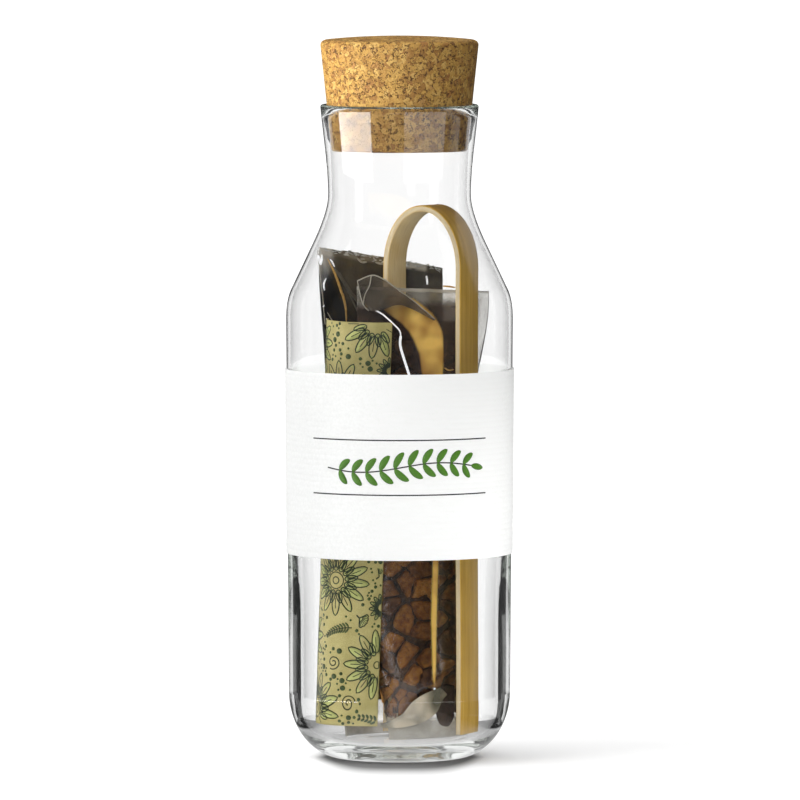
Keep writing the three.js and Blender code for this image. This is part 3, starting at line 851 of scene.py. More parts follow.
# %% [markdown]
# ## Printed sheet
#
# A sheet of kraft paper stands rolled round the front left of the contents. Its plan is a smooth curve
# through a few points, and the sheet is that curve carried upwards, leaning a little. One function maps
# a place on the flat sheet (millimetres from its front edge, and upwards) to space, so the paper and
# its printing share it.

# %% Sheet surface
SHEET_PLAN = np.array([
    [-3.6, -19.3], [-12, -21.4], [-21.5, -20.2], [-27.2, -14.3], [-29.6, -6.2], [-29.2, -0.6]])
SHEET_PLACE = np.array([-3.3, 0.6, 14.9])
SHEET_HEIGHT, SHEET_LEAN = 162, math.radians(1.4)
SHEET_FOOT_ROLL, SHEET_ROLL_EDGE = 0.925, -29.6        # narrower at the foot, towards its left edge


def through(points, steps=12):
    """A smooth curve through all points: on each stretch a cubic whose ends head along the line between
    the neighbours."""
    padded = np.vstack([points[:1], points, points[-1:]])
    before, start, end, after = padded[:-3], padded[1:-2], padded[2:-1], padded[3:]
    t = np.linspace(0, 1, steps, endpoint=False)[:, None, None]
    leave, arrive = (end - before) / 2, (after - start) / 2
    curve = ((2 * t ** 3 - 3 * t ** 2 + 1) * start + (t ** 3 - 2 * t ** 2 + t) * leave
             + (3 * t ** 2 - 2 * t ** 3) * end + (t ** 3 - t ** 2) * arrive)
    return np.vstack([curve.transpose(1, 0, 2).reshape(-1, points.shape[1]), points[-1:]])


sheet_path = through(SHEET_PLAN)
sheet_walk = lengths(sheet_path)
sheet_width = sheet_walk[-1]
sheet_along = np.gradient(sheet_path, axis=0)
sheet_along /= np.linalg.norm(sheet_along, axis=1)[:, None]


def on_sheet(place, proud, middle=PAPER / 2):
    """Maps (along, upwards) millimetres on the sheet's face to space, `proud` in front of the paper."""
    along, upwards = place[..., 0], place[..., 1]
    x, y, ahead_x, ahead_y = (np.interp(along, sheet_walk, column) for column in
                              (sheet_path[:, 0], sheet_path[:, 1], sheet_along[:, 0], sheet_along[:, 1]))
    flat = np.stack([along, upwards, 0 * along], axis=-1)
    wave = 0.35 * lumps(flat, 34.0, 5) + 0.1 * lumps(flat, 11.0, 6)
    out = middle + proud + wave
    x, y = x - ahead_y * out, y + ahead_x * out
    roll = SHEET_FOOT_ROLL + (1 - SHEET_FOOT_ROLL) * upwards / SHEET_HEIGHT
    x = SHEET_ROLL_EDGE + (x - SHEET_ROLL_EDGE) * roll
    cos, sin = math.cos(SHEET_LEAN), math.sin(SHEET_LEAN)
    return np.stack([x * cos + upwards * sin, y, upwards * cos - x * sin], axis=-1) + SHEET_PLACE


# %% Kraft paper
kraft, tree, shader = new_material("printed_kraft", Roughness=0.6)
place = add(tree, "TexCoord", output="Object")
clouds = noise(tree, place, 160, 4)
base = colours(tree, clouds, (0.3, (0.42, 0.365, 0.125)), (0.7, (0.51, 0.445, 0.175)))
fibres = noise(tree, place, 1400, 3, 0.7)
fibrous = colours(tree, fibres, (0.3, (0.7, 0.68, 0.6)), (0.65, (1, 1, 1)))
base = blend(tree, 0.35, base, fibrous, "MULTIPLY")
tree.links.new(base, shader.inputs["Base Color"])
bump(tree, shader, fibres, 0.2, 0.0001)

# %% Sheet
rows, columns = 120, 70
across = np.linspace(0, sheet_width, columns)
upwards = np.linspace(0, SHEET_HEIGHT, rows)
flat = np.stack(np.meshgrid(across, upwards), axis=-1)
sheet_points = np.concatenate([on_sheet(flat, 0), on_sheet(flat[:, ::-1], 0, -PAPER / 2)], axis=1) * MM
around = np.append(np.concatenate([across, across + sheet_width]), 2 * sheet_width) * MM
sheet_mesh = grid_mesh("printed_sheet", sheet_points, around, upwards * MM, ring=True, capped=True)
close_up(sheet_mesh)
show(sheet_mesh, "sheet_of_kraft", kraft, "printed_paper", "printed_sheet")
print("sheet width:", round(sheet_width, 1), "mm")

# %% [markdown]
# The print is a garden pattern: daisies, fern fronds, fan leaves, curling tendrils and dots, in dark green
# lines with light green petals. Motifs are strewn over the sheet from a fixed seed, each where it
# touches no other. Each motif is a few strokes round its own centre, turned and moved into place. It
# comes in three layers: pale fills, lines, and solid leaves and dots.

# %% Motifs
dice = np.random.default_rng(11)


def spoke(angle, start, end, count=9):
    """Points of a straight line outwards at an angle."""
    return np.linspace(start, end, count)[:, None] * circle(angle)


def petal(angle, start, end, width, count=25):
    """A closed loop from the heart out to a pointed tip and back: the distance follows one whole cosine
    wave, the width one whole sine wave that narrows towards the tip."""
    t = np.linspace(0, 2 * np.pi, count)
    out = start + (end - start) * (1 - np.cos(t)) / 2
    aside = width * np.sin(t) * (1 - 0.25 * (1 - np.cos(t)) / 2)
    return np.stack([out * np.cos(angle) - aside * np.sin(angle),
                     out * np.sin(angle) + aside * np.cos(angle)], axis=-1)


def daisy(size):
    """Two rows of petals round a heart of small rings."""
    fills, inks = [], []
    for count, start, end, offset in ((13, 0.34, 1.0, 0.0), (13, 0.28, 0.66, 0.5)):
        for index in range(count):
            angle = 2 * np.pi * (index + offset) / count
            width = np.pi * (start + end) * 0.42 * size / count
            fills.append(stroke(spoke(angle, start * size, end * size * 0.98), width * 1.7, leaf=1.0))
            inks.append(stroke(petal(angle, start * size, end * size, width), 0.5))
            inks.append(stroke(spoke(angle, end * size * 0.5, end * size * 0.8), 0.34))
    for ring in (0.1, 0.24):
        inks.append(stroke(ring * size * circle(np.linspace(0, 2 * np.pi, 25)), 0.45))
    return fills, inks, []


def frond(size):
    """A bowed stem with pairs of leaflets that shorten towards its tip."""
    stem = bend((-size, -0.15 * size), (0, 0.35 * size), (size, 0), 32)
    leaflets = []
    for index in range(3, 31, 3):
        ahead = stem[index + 1] - stem[index - 1]
        heading = np.degrees(np.arctan2(ahead[1], ahead[0]))
        leaflets += leaf_pair(stem[index], heading, size * (0.46 - 0.009 * index), size * 0.13, 52)
    return [], [stroke(stem, 0.45)], leaflets


def fan(size):
    """A fan leaf: a wavy outer edge, two straight sides, rays between them and a stalk."""
    t = np.linspace(-1.0, 1.0, 33)
    edge = (1 + 0.05 * np.cos(t * 16)) * size
    rim = np.stack([edge * np.sin(t), edge * np.cos(t) - 0.4 * size], axis=-1)
    foot = np.array([0, -0.4 * size])
    rays = [stroke(foot + spoke(np.pi / 2 - a, 0.3 * size, 0.86 * size), 0.3)
            for a in np.linspace(-0.8, 0.8, 7)]
    edges = [stroke(rim, 0.5), stroke([foot, rim[0]], 0.5), stroke([foot, rim[-1]], 0.5),
             stroke([foot, foot + [0.08 * size, -0.45 * size]], 0.55)]
    fills = [stroke(foot + spoke(np.pi / 2 - a, 0.1 * size, 0.97 * size), 0.34 * size, leaf=0.9)
             for a in np.linspace(-0.85, 0.85, 6)]
    return fills, edges + rays, []


def tendril(size):
    """A spiral of one and three quarter turns, whose radius grows evenly."""
    t = np.linspace(0, 1, 60)
    coil = size * (0.12 + 0.75 * t[:, None]) * circle(t * 3.5 * np.pi)
    return [], [stroke(coil[:22], 0.45), stroke(coil[21:41], 0.45), stroke(coil[40:], 0.45)], []


def dot(size):
    """A round spot, drawn as a stroke as wide as it is long."""
    return [], [], [stroke(spoke(0, -size, size), 2 * size, leaf=1.0)]


# %% Print on the sheet
# Each kind of motif, its size in millimetres and how many dozen times it is tried, the big ones first.
kinds = [(daisy, 14.0, 6), (daisy, 10.0, 8), (frond, 9.0, 16), (fan, 7.0, 12), (daisy, 5.5, 12),
         (frond, 6.0, 26), (tendril, 3.4, 26), (fan, 3.6, 26), (dot, 1.1, 60), (dot, 0.7, 90),
         (daisy, 3.0, 20), (tendril, 2.2, 40), (fan, 2.0, 60), (dot, 0.45, 160)]
taken = np.empty((0, 3))
petals, lines, greens = [], [], []
for make, size, tries in kinds:
    for _ in range(tries * 12):
        spot = dice.uniform((0, 0), (sheet_width, SHEET_HEIGHT))
        reach = size * 0.96 + 0.2
        clear = np.hypot(*(taken[:, :2] - spot).T) > taken[:, 2] + reach if len(taken) else [True]
        if not np.all(clear):
            continue
        taken = np.vstack([taken, [*spot, size]])
        angle = dice.uniform(0, 2 * np.pi)
        turned = np.array([[np.cos(angle), np.sin(angle)], [-np.sin(angle), np.cos(angle)]])
        for group, drawn in zip((petals, lines, greens), make(size)):
            group += [(path @ turned + spot, half) for path, half in drawn]
print("motifs:", len(taken))


def trimmed(strokes):
    """Keeps the strokes that lie on the sheet, and slides the points beyond its edges onto them."""
    kept = []
    for path, half in strokes:
        margin = half[:, None] + 0.15
        held = np.clip(path, margin, np.array([sheet_width, SHEET_HEIGHT]) - margin)
        if np.abs(held - path).max() < 0.6:
            kept.append((held, half))
    return kept


petal_ink = ink("petal_ink", (0.40, 0.44, 0.13), (0.50, 0.52, 0.18))
line_ink = ink("line_ink", (0.012, 0.022, 0.010), (0.03, 0.05, 0.02))
leaf_ink = ink("leaf_ink", (0.035, 0.06, 0.018), (0.07, 0.11, 0.03))
for name, strokes, colour, proud in (("sheet_petals", petals, petal_ink, 0.02),
                                     ("sheet_lines", lines, line_ink, 0.05),
                                     ("sheet_leaves", greens, leaf_ink, 0.04)):
    show(lay_strokes(name, trimmed(strokes), on_sheet, proud), name, colour, "printed_paper")

# %% [markdown]
# ## Bamboo tongs
#
# One strip of split bamboo is steamed and bent into a U. Its fibres run all the way along it, so the
# grain is a noise that is stretched forty times along the strip. That needs the piece's own UV map: u
# runs round the strip's section and v along its length. The cut sides and the inner face are paler than
# the golden outer skin.

# %% Bamboo material
STRIP_THICKNESS, STRIP_WIDTH, EDGE_ROUND, LEG_SPACING = 2.5, 14, 0.45, 34.2
TONGS_FOOT, TONGS_TOP, BOW_HEIGHT = 10.5, 223.6, 26
TONGS_CENTRE, TONGS_TURN = np.array([12.5, -1.4]), math.radians(-32)
section_length = 2 * (STRIP_THICKNESS + STRIP_WIDTH) * MM

bamboo, tree, shader = new_material("bamboo", Roughness=0.42, Specular_IOR_Level=0.25)
uv = add(tree, "UVMap", uv_map="UVMap")
stretched = add(tree, "Mapping", {"Vector": uv, "Scale": (1.0, 0.025, 1.0)})
grain = noise(tree, stretched, 2600, 4, 0.6)
streaks = noise(tree, stretched, 520, 3, 0.55)
cloud = noise(tree, uv, 55, 2)
gold = colours(tree, streaks, (0.3, (0.60, 0.34, 0.035)), (0.5, (0.68, 0.40, 0.05)),
               (0.7, (0.76, 0.48, 0.08)))
gold = blend(tree, times(tree, cloud, 0.3), gold, (0.78, 0.54, 0.15))
round_section = add(tree, "SeparateXYZ", {0: uv}, output=None).outputs[0]
share = calc(tree, "DIVIDE", round_section, section_length)
first_side = times(tree, soft(tree, share, 0.415, 0.43), soft(tree, share, 0.505, 0.49))
second_side = soft(tree, share, 0.915, 0.93)
cut = calc(tree, "MAXIMUM", first_side, second_side)
inner_face = times(tree, soft(tree, share, 0.5, 0.52), soft(tree, share, 0.93, 0.91))
pale = times(tree, inner_face, soft(tree, cloud, 0.3, 0.7, 0.55, 0.9))
gold = blend(tree, pale, gold, (0.90, 0.78, 0.49))
gold = blend(tree, times(tree, cut, 0.8), gold, (0.68, 0.60, 0.43))
fibrous = colours(tree, grain, (0.32, (0.62, 0.5, 0.34)), (0.58, (1, 1, 1)))
gold = blend(tree, 0.4, gold, fibrous, "MULTIPLY")
tree.links.new(gold, shader.inputs["Base Color"])
bump(tree, shader, grain, 0.3, 0.0002)

# %% Tongs
spring = TONGS_TOP - BOW_HEIGHT
half_spacing = LEG_SPACING / 2


def tongs_side(offset):
    """The strip's side view as (sideways, height), `offset` outside its middle: up a leg, over a half
    oval and down the other leg."""
    leg = np.linspace(TONGS_FOOT, spring, 60)
    turn = np.linspace(np.pi, 0, 64)[1:-1]
    middle_height = BOW_HEIGHT - STRIP_THICKNESS / 2
    bow = np.array([0, spring]) + np.array([half_spacing + offset, middle_height + offset]) * circle(turn)
    up = np.stack([np.full(60, -half_spacing - offset), leg], axis=-1)
    down = np.stack([np.full(60, half_spacing + offset), leg[::-1]], axis=-1)
    return np.vstack([up, bow, down])


def rounded_section(thick, wide, round_edge):
    """A rectangle with rounded corners as (outwards, sideways), starting at the outer face."""
    corner = np.radians(np.linspace(0, 90, 4))
    points = []
    for quarter, (x, y) in enumerate(((1, 1), (-1, 1), (-1, -1), (1, -1))):
        centre = np.array([x * (thick / 2 - round_edge), y * (wide / 2 - round_edge)])
        points.append(centre + round_edge * circle(corner + quarter * np.pi / 2))
    return np.roll(np.vstack(points), 4, axis=0)


section = rounded_section(STRIP_THICKNESS, STRIP_WIDTH, EDGE_ROUND)
side_view = np.stack([tongs_side(offset) for offset in section[:, 0]], axis=1)
sideways = np.broadcast_to(section[:, 1], side_view.shape[:2])
cos, sin = math.cos(TONGS_TURN), math.sin(TONGS_TURN)
tongs_points = np.stack([
    TONGS_CENTRE[0] + side_view[..., 0] * cos - sideways * sin,
    TONGS_CENTRE[1] + side_view[..., 0] * sin + sideways * cos,
    side_view[..., 1],
], axis=-1) * MM
section_walk = lengths(np.vstack([section, section[:1]]))
strip_walk = lengths(tongs_side(0))
tongs_mesh = grid_mesh("tongs", tongs_points, section_walk * MM, strip_walk * MM, ring=True, capped=True)
close_up(tongs_mesh)
show(tongs_mesh, "tongs", bamboo, "bamboo", "bamboo_tongs")
print("tongs strip length:", round(strip_walk[-1]), "mm")

# %% [markdown]
# ## Clear bags
#
# Each bag is a flat tube of clear film, sealed at the foot and the top. In plan, its middle line is a
# quadratic curve from its left edge to its right edge, and the filling swells it to both sides like a
# lens. The lines of the foot, the body and the top blend into each other with height. One formula gives
# the film and the filling, because the filling is the same shape a little inside.

# %% Bag shapes
FILM, SEAL, FILLING_GAP = 0.3, 0.1, 0.45                # in millimetres
BAG_FOOT = FLOOR_HEIGHT + GAP
FLAT_HALF_WIDTH, BELLY_PULL = 26, 0.1
FILL_FOOT, FILL_RISE = 0.05, 0.12                       # shares of the height
BODY_FOOT, BODY_HEAD, LENS_POWER = 0.3, 0.55, 0.6
SOIL_BAG = dict(
    foot=([-21.5, -5], [-14, 20], [13, 20]), body=([-28.8, 1.5], [-17.5, 26.6], [20, 25]),
    top=([-32.6, 2.5], [-10, 19], [17.5, 24]), top_z=(206.8, 197.1),
    thickness=8.4, heavy_side=-0.35, fill_top=0.95, fill_fall=0.3, foot_slope=0.0,
)
CHIPS_BAG = dict(
    foot=([-4.2, -17], [12, -16], [27.2, 0]), body=([-19, -12], [6, -9.4], [30, 5]),
    top=([-17.1, -10], [8, -6], [36.2, 6]), top_z=(191.1, 188.4),
    thickness=9.6, heavy_side=0.0, fill_top=0.97, fill_fall=0.2, foot_slope=0.032,
)


def fullness(bag, share, across=0.0):
    """From 0 in the seals to 1 at the belly. A slope at the foot lets the filling reach lower on the
    left side than on the right one."""
    fall = 1 - smoothstep(share, bag["fill_top"] - bag["fill_fall"], bag["fill_top"])
    foot = FILL_FOOT + bag["foot_slope"] * across
    return smoothstep(share, foot, foot + FILL_RISE) * fall


def bag_point(bag, across, side, share, inset=0.0, sway=0.0):
    """A point of the bag in millimetres. Across runs from -1 at the left edge to 1 at the right one,
    side is -1 on the front sheet and 1 on the back one, share is the share of the height, inset is
    taken off every outer face and sway moves both sheets backwards together."""
    low, high = smoothstep(share, 0, BODY_FOOT)[..., None], smoothstep(share, BODY_HEAD, 1)[..., None]
    lines = [(foot + (body - foot) * low) * (1 - high) + top * high for foot, body, top in
             zip(*(map(np.array, bag[level]) for level in ("foot", "body", "top")))]
    left, middle, right = lines
    full = fullness(bag, share, across)
    t = (across * (1 - BELLY_PULL * full - inset / FLAT_HALF_WIDTH) + 1) / 2
    turn = t[..., None]
    place = (1 - turn) ** 2 * left + 2 * turn * (1 - turn) * middle + turn ** 2 * right
    along = (1 - turn) * (middle - left) + turn * (right - middle)
    along /= np.linalg.norm(along, axis=-1, keepdims=True)
    swell = bag["thickness"] * (1 + bag["heavy_side"] * across) * full
    lens = swell * np.clip(1 - across ** 2, 0, 1) ** LENS_POWER
    half = np.maximum(lens + SEAL + FILM - inset, SEAL) * side + sway
    top_z = bag["top_z"][0] * (1 - t) + bag["top_z"][1] * t
    return np.stack([place[..., 0] - along[..., 1] * half, place[..., 1] + along[..., 0] * half,
                     BAG_FOOT * (1 - share) + top_z * share], axis=-1)


def loose(bag, across, share, high):
    """How freely the film sways: not at all at the side edges and over the filling, and fully between
    them from a share of the height on."""
    return (1 - fullness(bag, share)) * np.clip(1 - across ** 2, 0, 1) ** 0.5 * smoothstep(share, 0.5, high)


def bag_ring(count):
    """Across and side of a ring of points: along the front sheet, then back along the rear one."""
    across = -np.cos(np.linspace(0, np.pi, count))
    return np.concatenate([across, across[::-1]]), np.repeat([-1, 1], count)


# %% [markdown]
# ## Film
#
# Clear film hardly colours what is behind it. It is seen by its gloss, by milky seals and folds and by
# the dust of the filling that clings to it. The material lets most light straight through and mixes in
# a sharp gloss that grows towards grazing angles. Three attributes of the mesh say where it is milky,
# where it is dusty, and where it has a painted sheen: a painted reflection of what stands next to it,
# such as the golden bamboo.

# %% Film material
FILM_GLOSS = 1.8             # a film has two faces, which mirror nearly twice as much as one


def film_material(name, dark_dust, pale_dust, dark_sheen, pale_sheen):
    """Clear film with coats of dust, haze and a painted sheen, which is a painted reflection. Dust and
    sheen are dark in some clouds and paler in others."""
    material, tree, shader = new_material(name)
    tree.nodes.remove(shader)
    place = add(tree, "TexCoord", output="Object")
    crinkle = noise(tree, place, 130, 5, 0.6)
    tilt = add(tree, "Bump", {"Height": crinkle, "Strength": 0.5, "Distance": 0.0016}, "Normal")
    clear = add(tree, "BsdfTransparent", {"Color": (0.97, 0.965, 0.95, 1)})
    gloss = add(tree, "BsdfAnisotropic", {"Color": (1, 1, 1, 1), "Roughness": 0.07, "Normal": tilt})
    facing = add(tree, "Fresnel", {"IOR": 1.5, "Normal": tilt})
    seen = add(tree, "MixShader", {0: times(tree, facing, FILM_GLOSS), 1: clear, 2: gloss})
    mottled = soft(tree, noise(tree, place, 300, 4, 0.65), 0.3, 0.7, 0.8, 1.0)
    cloud = noise(tree, place, 55, 2, 0.5)
    dust = colours(tree, cloud, (0.42, dark_dust), (0.58, pale_dust))
    milk = colours(tree, cloud, (0.35, (0.47, 0.44, 0.37)), (0.65, (0.64, 0.61, 0.53)))
    # Painted sheen: a painted reflection of what stands next to the film.
    sheen = colours(tree, cloud, (0.38, dark_sheen), (0.52, pale_sheen))
    coats = (("dust", dust, 0.22), ("haze", milk, 0.35), ("sheen", sheen, 0.25))
    for attribute, colour, roughness in coats:
        amount = add(tree, "Attribute", attribute_name=attribute, output="Fac")
        if attribute == "haze":
            amount = times(tree, amount, mottled)
        coat = add(tree, "BsdfPrincipled", {"Base Color": colour, "Roughness": roughness, "Normal": tilt})
        seen = add(tree, "MixShader", {0: amount, 1: seen, 2: coat})
    tree.links.new(seen, tree.nodes["Material Output"].inputs["Surface"])
    return material


# The last two colours of each film are its painted sheen, a painted reflection.
soil_film = film_material("soil_film", (0.006, 0.006, 0.007), (0.022, 0.019, 0.016),
                          (0.045, 0.038, 0.028), (0.085, 0.073, 0.055))
chips_film = film_material("chips_film", (0.028, 0.015, 0.012), (0.062, 0.036, 0.022),
                           (0.42, 0.21, 0.045), (0.88, 0.57, 0.13))


def film_mesh(name, bag, rows, count, sway, pinked, **layers):
    """The film as one closed pillow. Sway gives its creases and pinked the depth of its zigzag top. Each
    layer is a function of the points and their places on the bag that gives an attribute from 0 to 1."""
    across, side = bag_ring(count)
    share = np.linspace(0, 1, rows)[:, None] + 0 * across
    across, side = across + 0 * share, side + 0 * share
    points = bag_point(bag, across, side, share, sway=sway(across, share))
    cut = np.stack([across * FLAT_HALF_WIDTH, 0 * across, 0 * across], axis=-1)
    teeth = 0.6 * lumps(cut, 0.9, 40) + 0.4 * lumps(cut, 2.3, 41)
    points[..., 2] -= pinked * teeth * smoothstep(share, 0.985, 1)
    mesh = grid_mesh(name, points * MM, ring=True, capped=True)
    for key, layer in layers.items():
        give(mesh, key, np.clip(layer(points, across, share, side), 0, 1).ravel())
    close_up(mesh)
    return mesh


# %% Bag of soil


def soil_sway(across, share):
    """Folds that fan out from the top left corner and fade out over the filling."""
    fan_angle = np.arctan2(1.02 - share, across + 1.08)
    folds = 0.9 * np.sin(fan_angle * 17) + 0.6 * np.sin(fan_angle * 31 + 1)
    return folds * loose(SOIL_BAG, across, share, 0.8) * 0.7


def soil_milk_and_painted_glints(points, across, share, side):
    """Painted silvery highlights in flecks along the cut top; white in the left corner, milky in the foot
    seal and a little pale towards the right."""
    # Painted silvery highlights along the cut top.
    flecks = smoothstep(lumps(points, 1.8, 8), 0.15, 0.5)
    seal = smoothstep(share, 0.98, 0.989)
    tip = smoothstep(across, -0.6, -1.0) * smoothstep(share, 0.93, 0.985)
    foot = 1 - smoothstep(share, 0.035, 0.05)
    right = 0.13 * smoothstep(across, 0.2, 0.8)
    return seal * flecks + tip + foot * 0.5 + right


def soil_dust(points, across, share, side):
    """Dark dust: thin clouds over the filling, and as thick as paint above it."""
    clouds = 0.3 + 0.3 * lumps(points, 9.0, 9)
    top = smoothstep(share, 0.74, 0.84)
    return smoothstep(share, 0.05, 0.12) * (clouds + (1 - clouds) * top)


def soil_sheen(points, across, share, side):
    """A painted olive sheen, a painted reflection, on the middle of the front sheet, right of the golden
    crease, and on the top right corner."""
    x, z = points[..., 0], points[..., 2]
    crease = np.interp(z, [176, 187, 201], [-21, -23.6, -28.6])
    middle = smoothstep(x, crease, crease + 2.5) * (1 - smoothstep(x, -8, 0)) * smoothstep(z, 172, 190)
    corner = smoothstep(x, 10, 12)
    streaks = 0.65 + 0.35 * lumps(np.stack([x + 0.6 * z, 0 * x, 0.15 * z], axis=-1), 6.0, 42)
    return 0.95 * np.maximum(middle, corner) * (side < 0) * streaks * smoothstep(share, 0.8, 0.86)


soil_bag_mesh = film_mesh("soil_bag", SOIL_BAG, 260, 150, soil_sway, 1.1,
                          haze=soil_milk_and_painted_glints, dust=soil_dust, sheen=soil_sheen)
show(soil_bag_mesh, "soil_bag", soil_film, "clear_film", "soil_bag_film")

# %% [markdown]
# The soil itself is a dark crumbly mass, pressed against the film. It is the bag's shape a little inside,
# with crumbs of three sizes raised out of its surface.

# %% Soil
earth, tree, shader = new_material("potting_soil", Roughness=0.6)
place = add(tree, "TexCoord", output="Object")
crumbs = add(tree, "TexVoronoi", {"Vector": place, "Scale": 420.0}, "Color")
crumb_tone = add(tree, "SeparateColor", {0: crumbs})
brown = colours(tree, crumb_tone, (0.0, (0.008, 0.006, 0.005)), (0.6, (0.03, 0.02, 0.013)),
                (0.9, (0.07, 0.045, 0.025)), (1.0, (0.2, 0.13, 0.07)))
tree.links.new(brown, shader.inputs["Base Color"])
bump(tree, shader, noise(tree, place, 900, 5, 0.7), 0.8, 0.0006)


def filled_mesh(name, bag, rows, count, relief):
    """What fills a bag: the bag's shape inside the film, from the foot seal to the top of the filling."""
    across, side = bag_ring(count)
    levels = np.linspace(0, 1, 400)
    levels = levels[fullness(bag, levels) > 0.1]
    share = np.linspace(levels[0], levels[-1], rows)[:, None] + 0 * across
    across, side = across + 0 * share, side + 0 * share
    outer = bag_point(bag, across, side, share)
    inset = FILM + FILLING_GAP + relief(outer)
    mesh = grid_mesh(name, bag_point(bag, across, side, share, inset) * MM, ring=True, capped=True)
    close_up(mesh)
    return mesh


def crumbs_in(points):
    """How far the surface falls back between crumbs of 6, 2.5 and 1.2 mm."""
    return 1.0 * lumps(points, 6.0, 20) + 0.8 * lumps(points, 2.5, 21) + 0.4 * lumps(points, 1.2, 22)


show(filled_mesh("soil", SOIL_BAG, 200, 110, crumbs_in), "soil", earth, "soil", "potting_soil")

# %% Bag of drainage chips


def chips_sway(across, share):
    """Soft waves in the flat top of the bag: two sines that run slantwise across it."""
    waves = 0.35 * np.sin(across * 9 + share * 14) + 0.25 * np.sin(across * 17 - share * 22)
    return waves * loose(CHIPS_BAG, across, share, 0.9)


def chips_haze(points, across, share, side):
    """Milky in the foot seal and along the cut top, a pleated veil over the flat top and a thinner one
    down the right edge."""
    x, z = points[..., 0], points[..., 2]
    foot = 0.52 * (1 - smoothstep(share, 0.05, 0.075))
    pleats = 0.7 + 0.3 * np.sin(0.55 * x + 0.12 * z)
    veil = 0.36 * pleats * smoothstep(z, 181, 185)
    right = 0.2 * smoothstep(across, 0.7, 0.85) * smoothstep(z, 150, 160)
    edge = 0.4 * smoothstep(share, 0.99, 0.995)
    return foot + np.maximum(veil, right) + edge


def chips_dust(points, across, share, side):
    """Brown dust: a breath of it over the stones, and thick above them, but for the flat top and the
    right corner."""
    z = points[..., 2]
    breath = 0.06 * lumps(points, 7.0, 12)
    thick = smoothstep(z, 148, 160) * (1 - smoothstep(z, 182, 186)) * (1 - smoothstep(across, 0.78, 0.9))
    return breath + (0.72 + 0.24 * lumps(points, 5.0, 13)) * thick


# The left and right edge of the painted reflection of the bamboo at some heights, in millimetres.
GOLD_HEIGHTS = [29.5, 34, 57, 83, 152, 164, 170, 173, 176, 180, 183, 185.5, 187.5]
GOLD_LEFT = [13.6, 12.9, 12.4, 13.3, 9.3, 7.9, 5.4, 3.6, 1.0, -4.6, -8.6, -7.9, -4.6]
GOLD_RIGHT = [14.1, 14.4, 14.9, 15.9, 17.4, 17.7, 17.5, 17.0, 15.7, 12.9, 9.2, 5.6, 0.2]


def chips_painted_reflection(points, across, share, side):
    """A painted reflection of the bamboo: a narrow upright streak on the belly of the front sheet, which
    widens into a crescent where the bag narrows to its top, and leans to the left there."""
    x, z = points[..., 0], points[..., 2]
    left, right = np.interp(z, GOLD_HEIGHTS, GOLD_LEFT), np.interp(z, GOLD_HEIGHTS, GOLD_RIGHT)
    inside = smoothstep(x, left - 0.3, left + 0.7) * (1 - smoothstep(x, right - 0.5, right + 0.3))
    shaded = 1 - 0.55 * smoothstep(0.6 * z - x, 97, 112)
    ends = smoothstep(z, 28.5, 32.5) * (1 - smoothstep(z, 185.5, 187.5))
    return 0.96 * inside * (side < 0) * shaded * ends


chips_bag_mesh = film_mesh("chips_bag", CHIPS_BAG, 320, 150, chips_sway, 0.3,
                           haze=chips_haze, dust=chips_dust, sheen=chips_painted_reflection)
show(chips_bag_mesh, "chips_bag", chips_film, "clear_film", "chips_bag_film")

# %% [markdown]
# ## Creases, glints and folds
#
# Stiff film creases sharply, and each crease mirrors a lamp or its neighbours as a fine bright line. These
# lines are painted highlights: strokes laid on the front sheet, placed in millimetres as they are seen
# from the front. The top left corner of the chips' bag is folded over, and its foot is folded too, with a
# painted sheen on that fold. Beside it lies a dark patch of painted shade. All three are thin closed
# patches between an upper and a lower edge.

# %% Creases and folds


def front_of(bag, sway):
    """Returns a surface for strokes. It maps (x, z) millimetres as seen from the front, and a height, to
    a point that far before the bag's front sheet. The place on the sheet is found in a few steps, each
    of which moves by what is still missing."""
    def surface(place, proud):
        """The point `proud` millimetres before the sheet at a place seen from the front."""
        x, z = place[..., 0], place[..., 1]
        height = bag["top_z"][0] - BAG_FOOT
        across, share = 0 * x, (z - BAG_FOOT) / height
        for _ in range(14):
            share = np.clip(share, 0, 1)
            across = np.clip(across, -1, 1)
            point = bag_point(bag, across, -1, share, sway=sway(across, share))
            across = across + (x - point[..., 0]) / FLAT_HALF_WIDTH
            share = share + (z - point[..., 2]) / height
        return np.stack([x, point[..., 1] - proud, z], axis=-1)
    return surface


def smooth_stroke(points, width, leaf=0.0):
    """A stroke along the smooth curve through a few points."""
    return stroke(through(np.array(points, float)), width, leaf)


def film_patch(name, upper, lower, surface, proud, crumple, amounts):
    """A thin closed patch of film between an upper and a lower edge, crumpled by noise. Amounts are its
    coats of dust, haze and painted sheen."""
    upper, lower = (through(np.array(edge, float), 16)[:, None] for edge in (upper, lower))
    rise = np.linspace(0, 1, 40)[None, :, None]
    place = (lower + (upper - lower) * rise).transpose(1, 0, 2)
    crumples = lumps(np.stack([place[..., 0], 0 * place[..., 0], place[..., 1]], axis=-1), 5.0, 43)
    front = surface(place, proud + crumple * crumples)
    back = front + np.array([0, 0.15, 0])
    mesh = grid_mesh(name, np.concatenate([front, back[:, ::-1]], axis=1) * MM, ring=True, capped=True)
    clouds = np.concatenate([crumples, crumples[:, ::-1]], axis=1).ravel()
    for key, amount in amounts.items():
        give(mesh, key, amount * (0.6 + 0.8 * clouds))
    close_up(mesh)
    return mesh


def lay_all(groups, surface):
    """Lays groups of strokes, each given as its name, its ink, how far it stands proud, and its strokes."""
    for name, material, proud, strokes in groups:
        show(lay_strokes(name, strokes, surface, proud), name, material, "clear_film")


# %% Painted glints on the creases of the soil bag
on_soil_bag, on_chips_bag = front_of(SOIL_BAG, soil_sway), front_of(CHIPS_BAG, chips_sway)
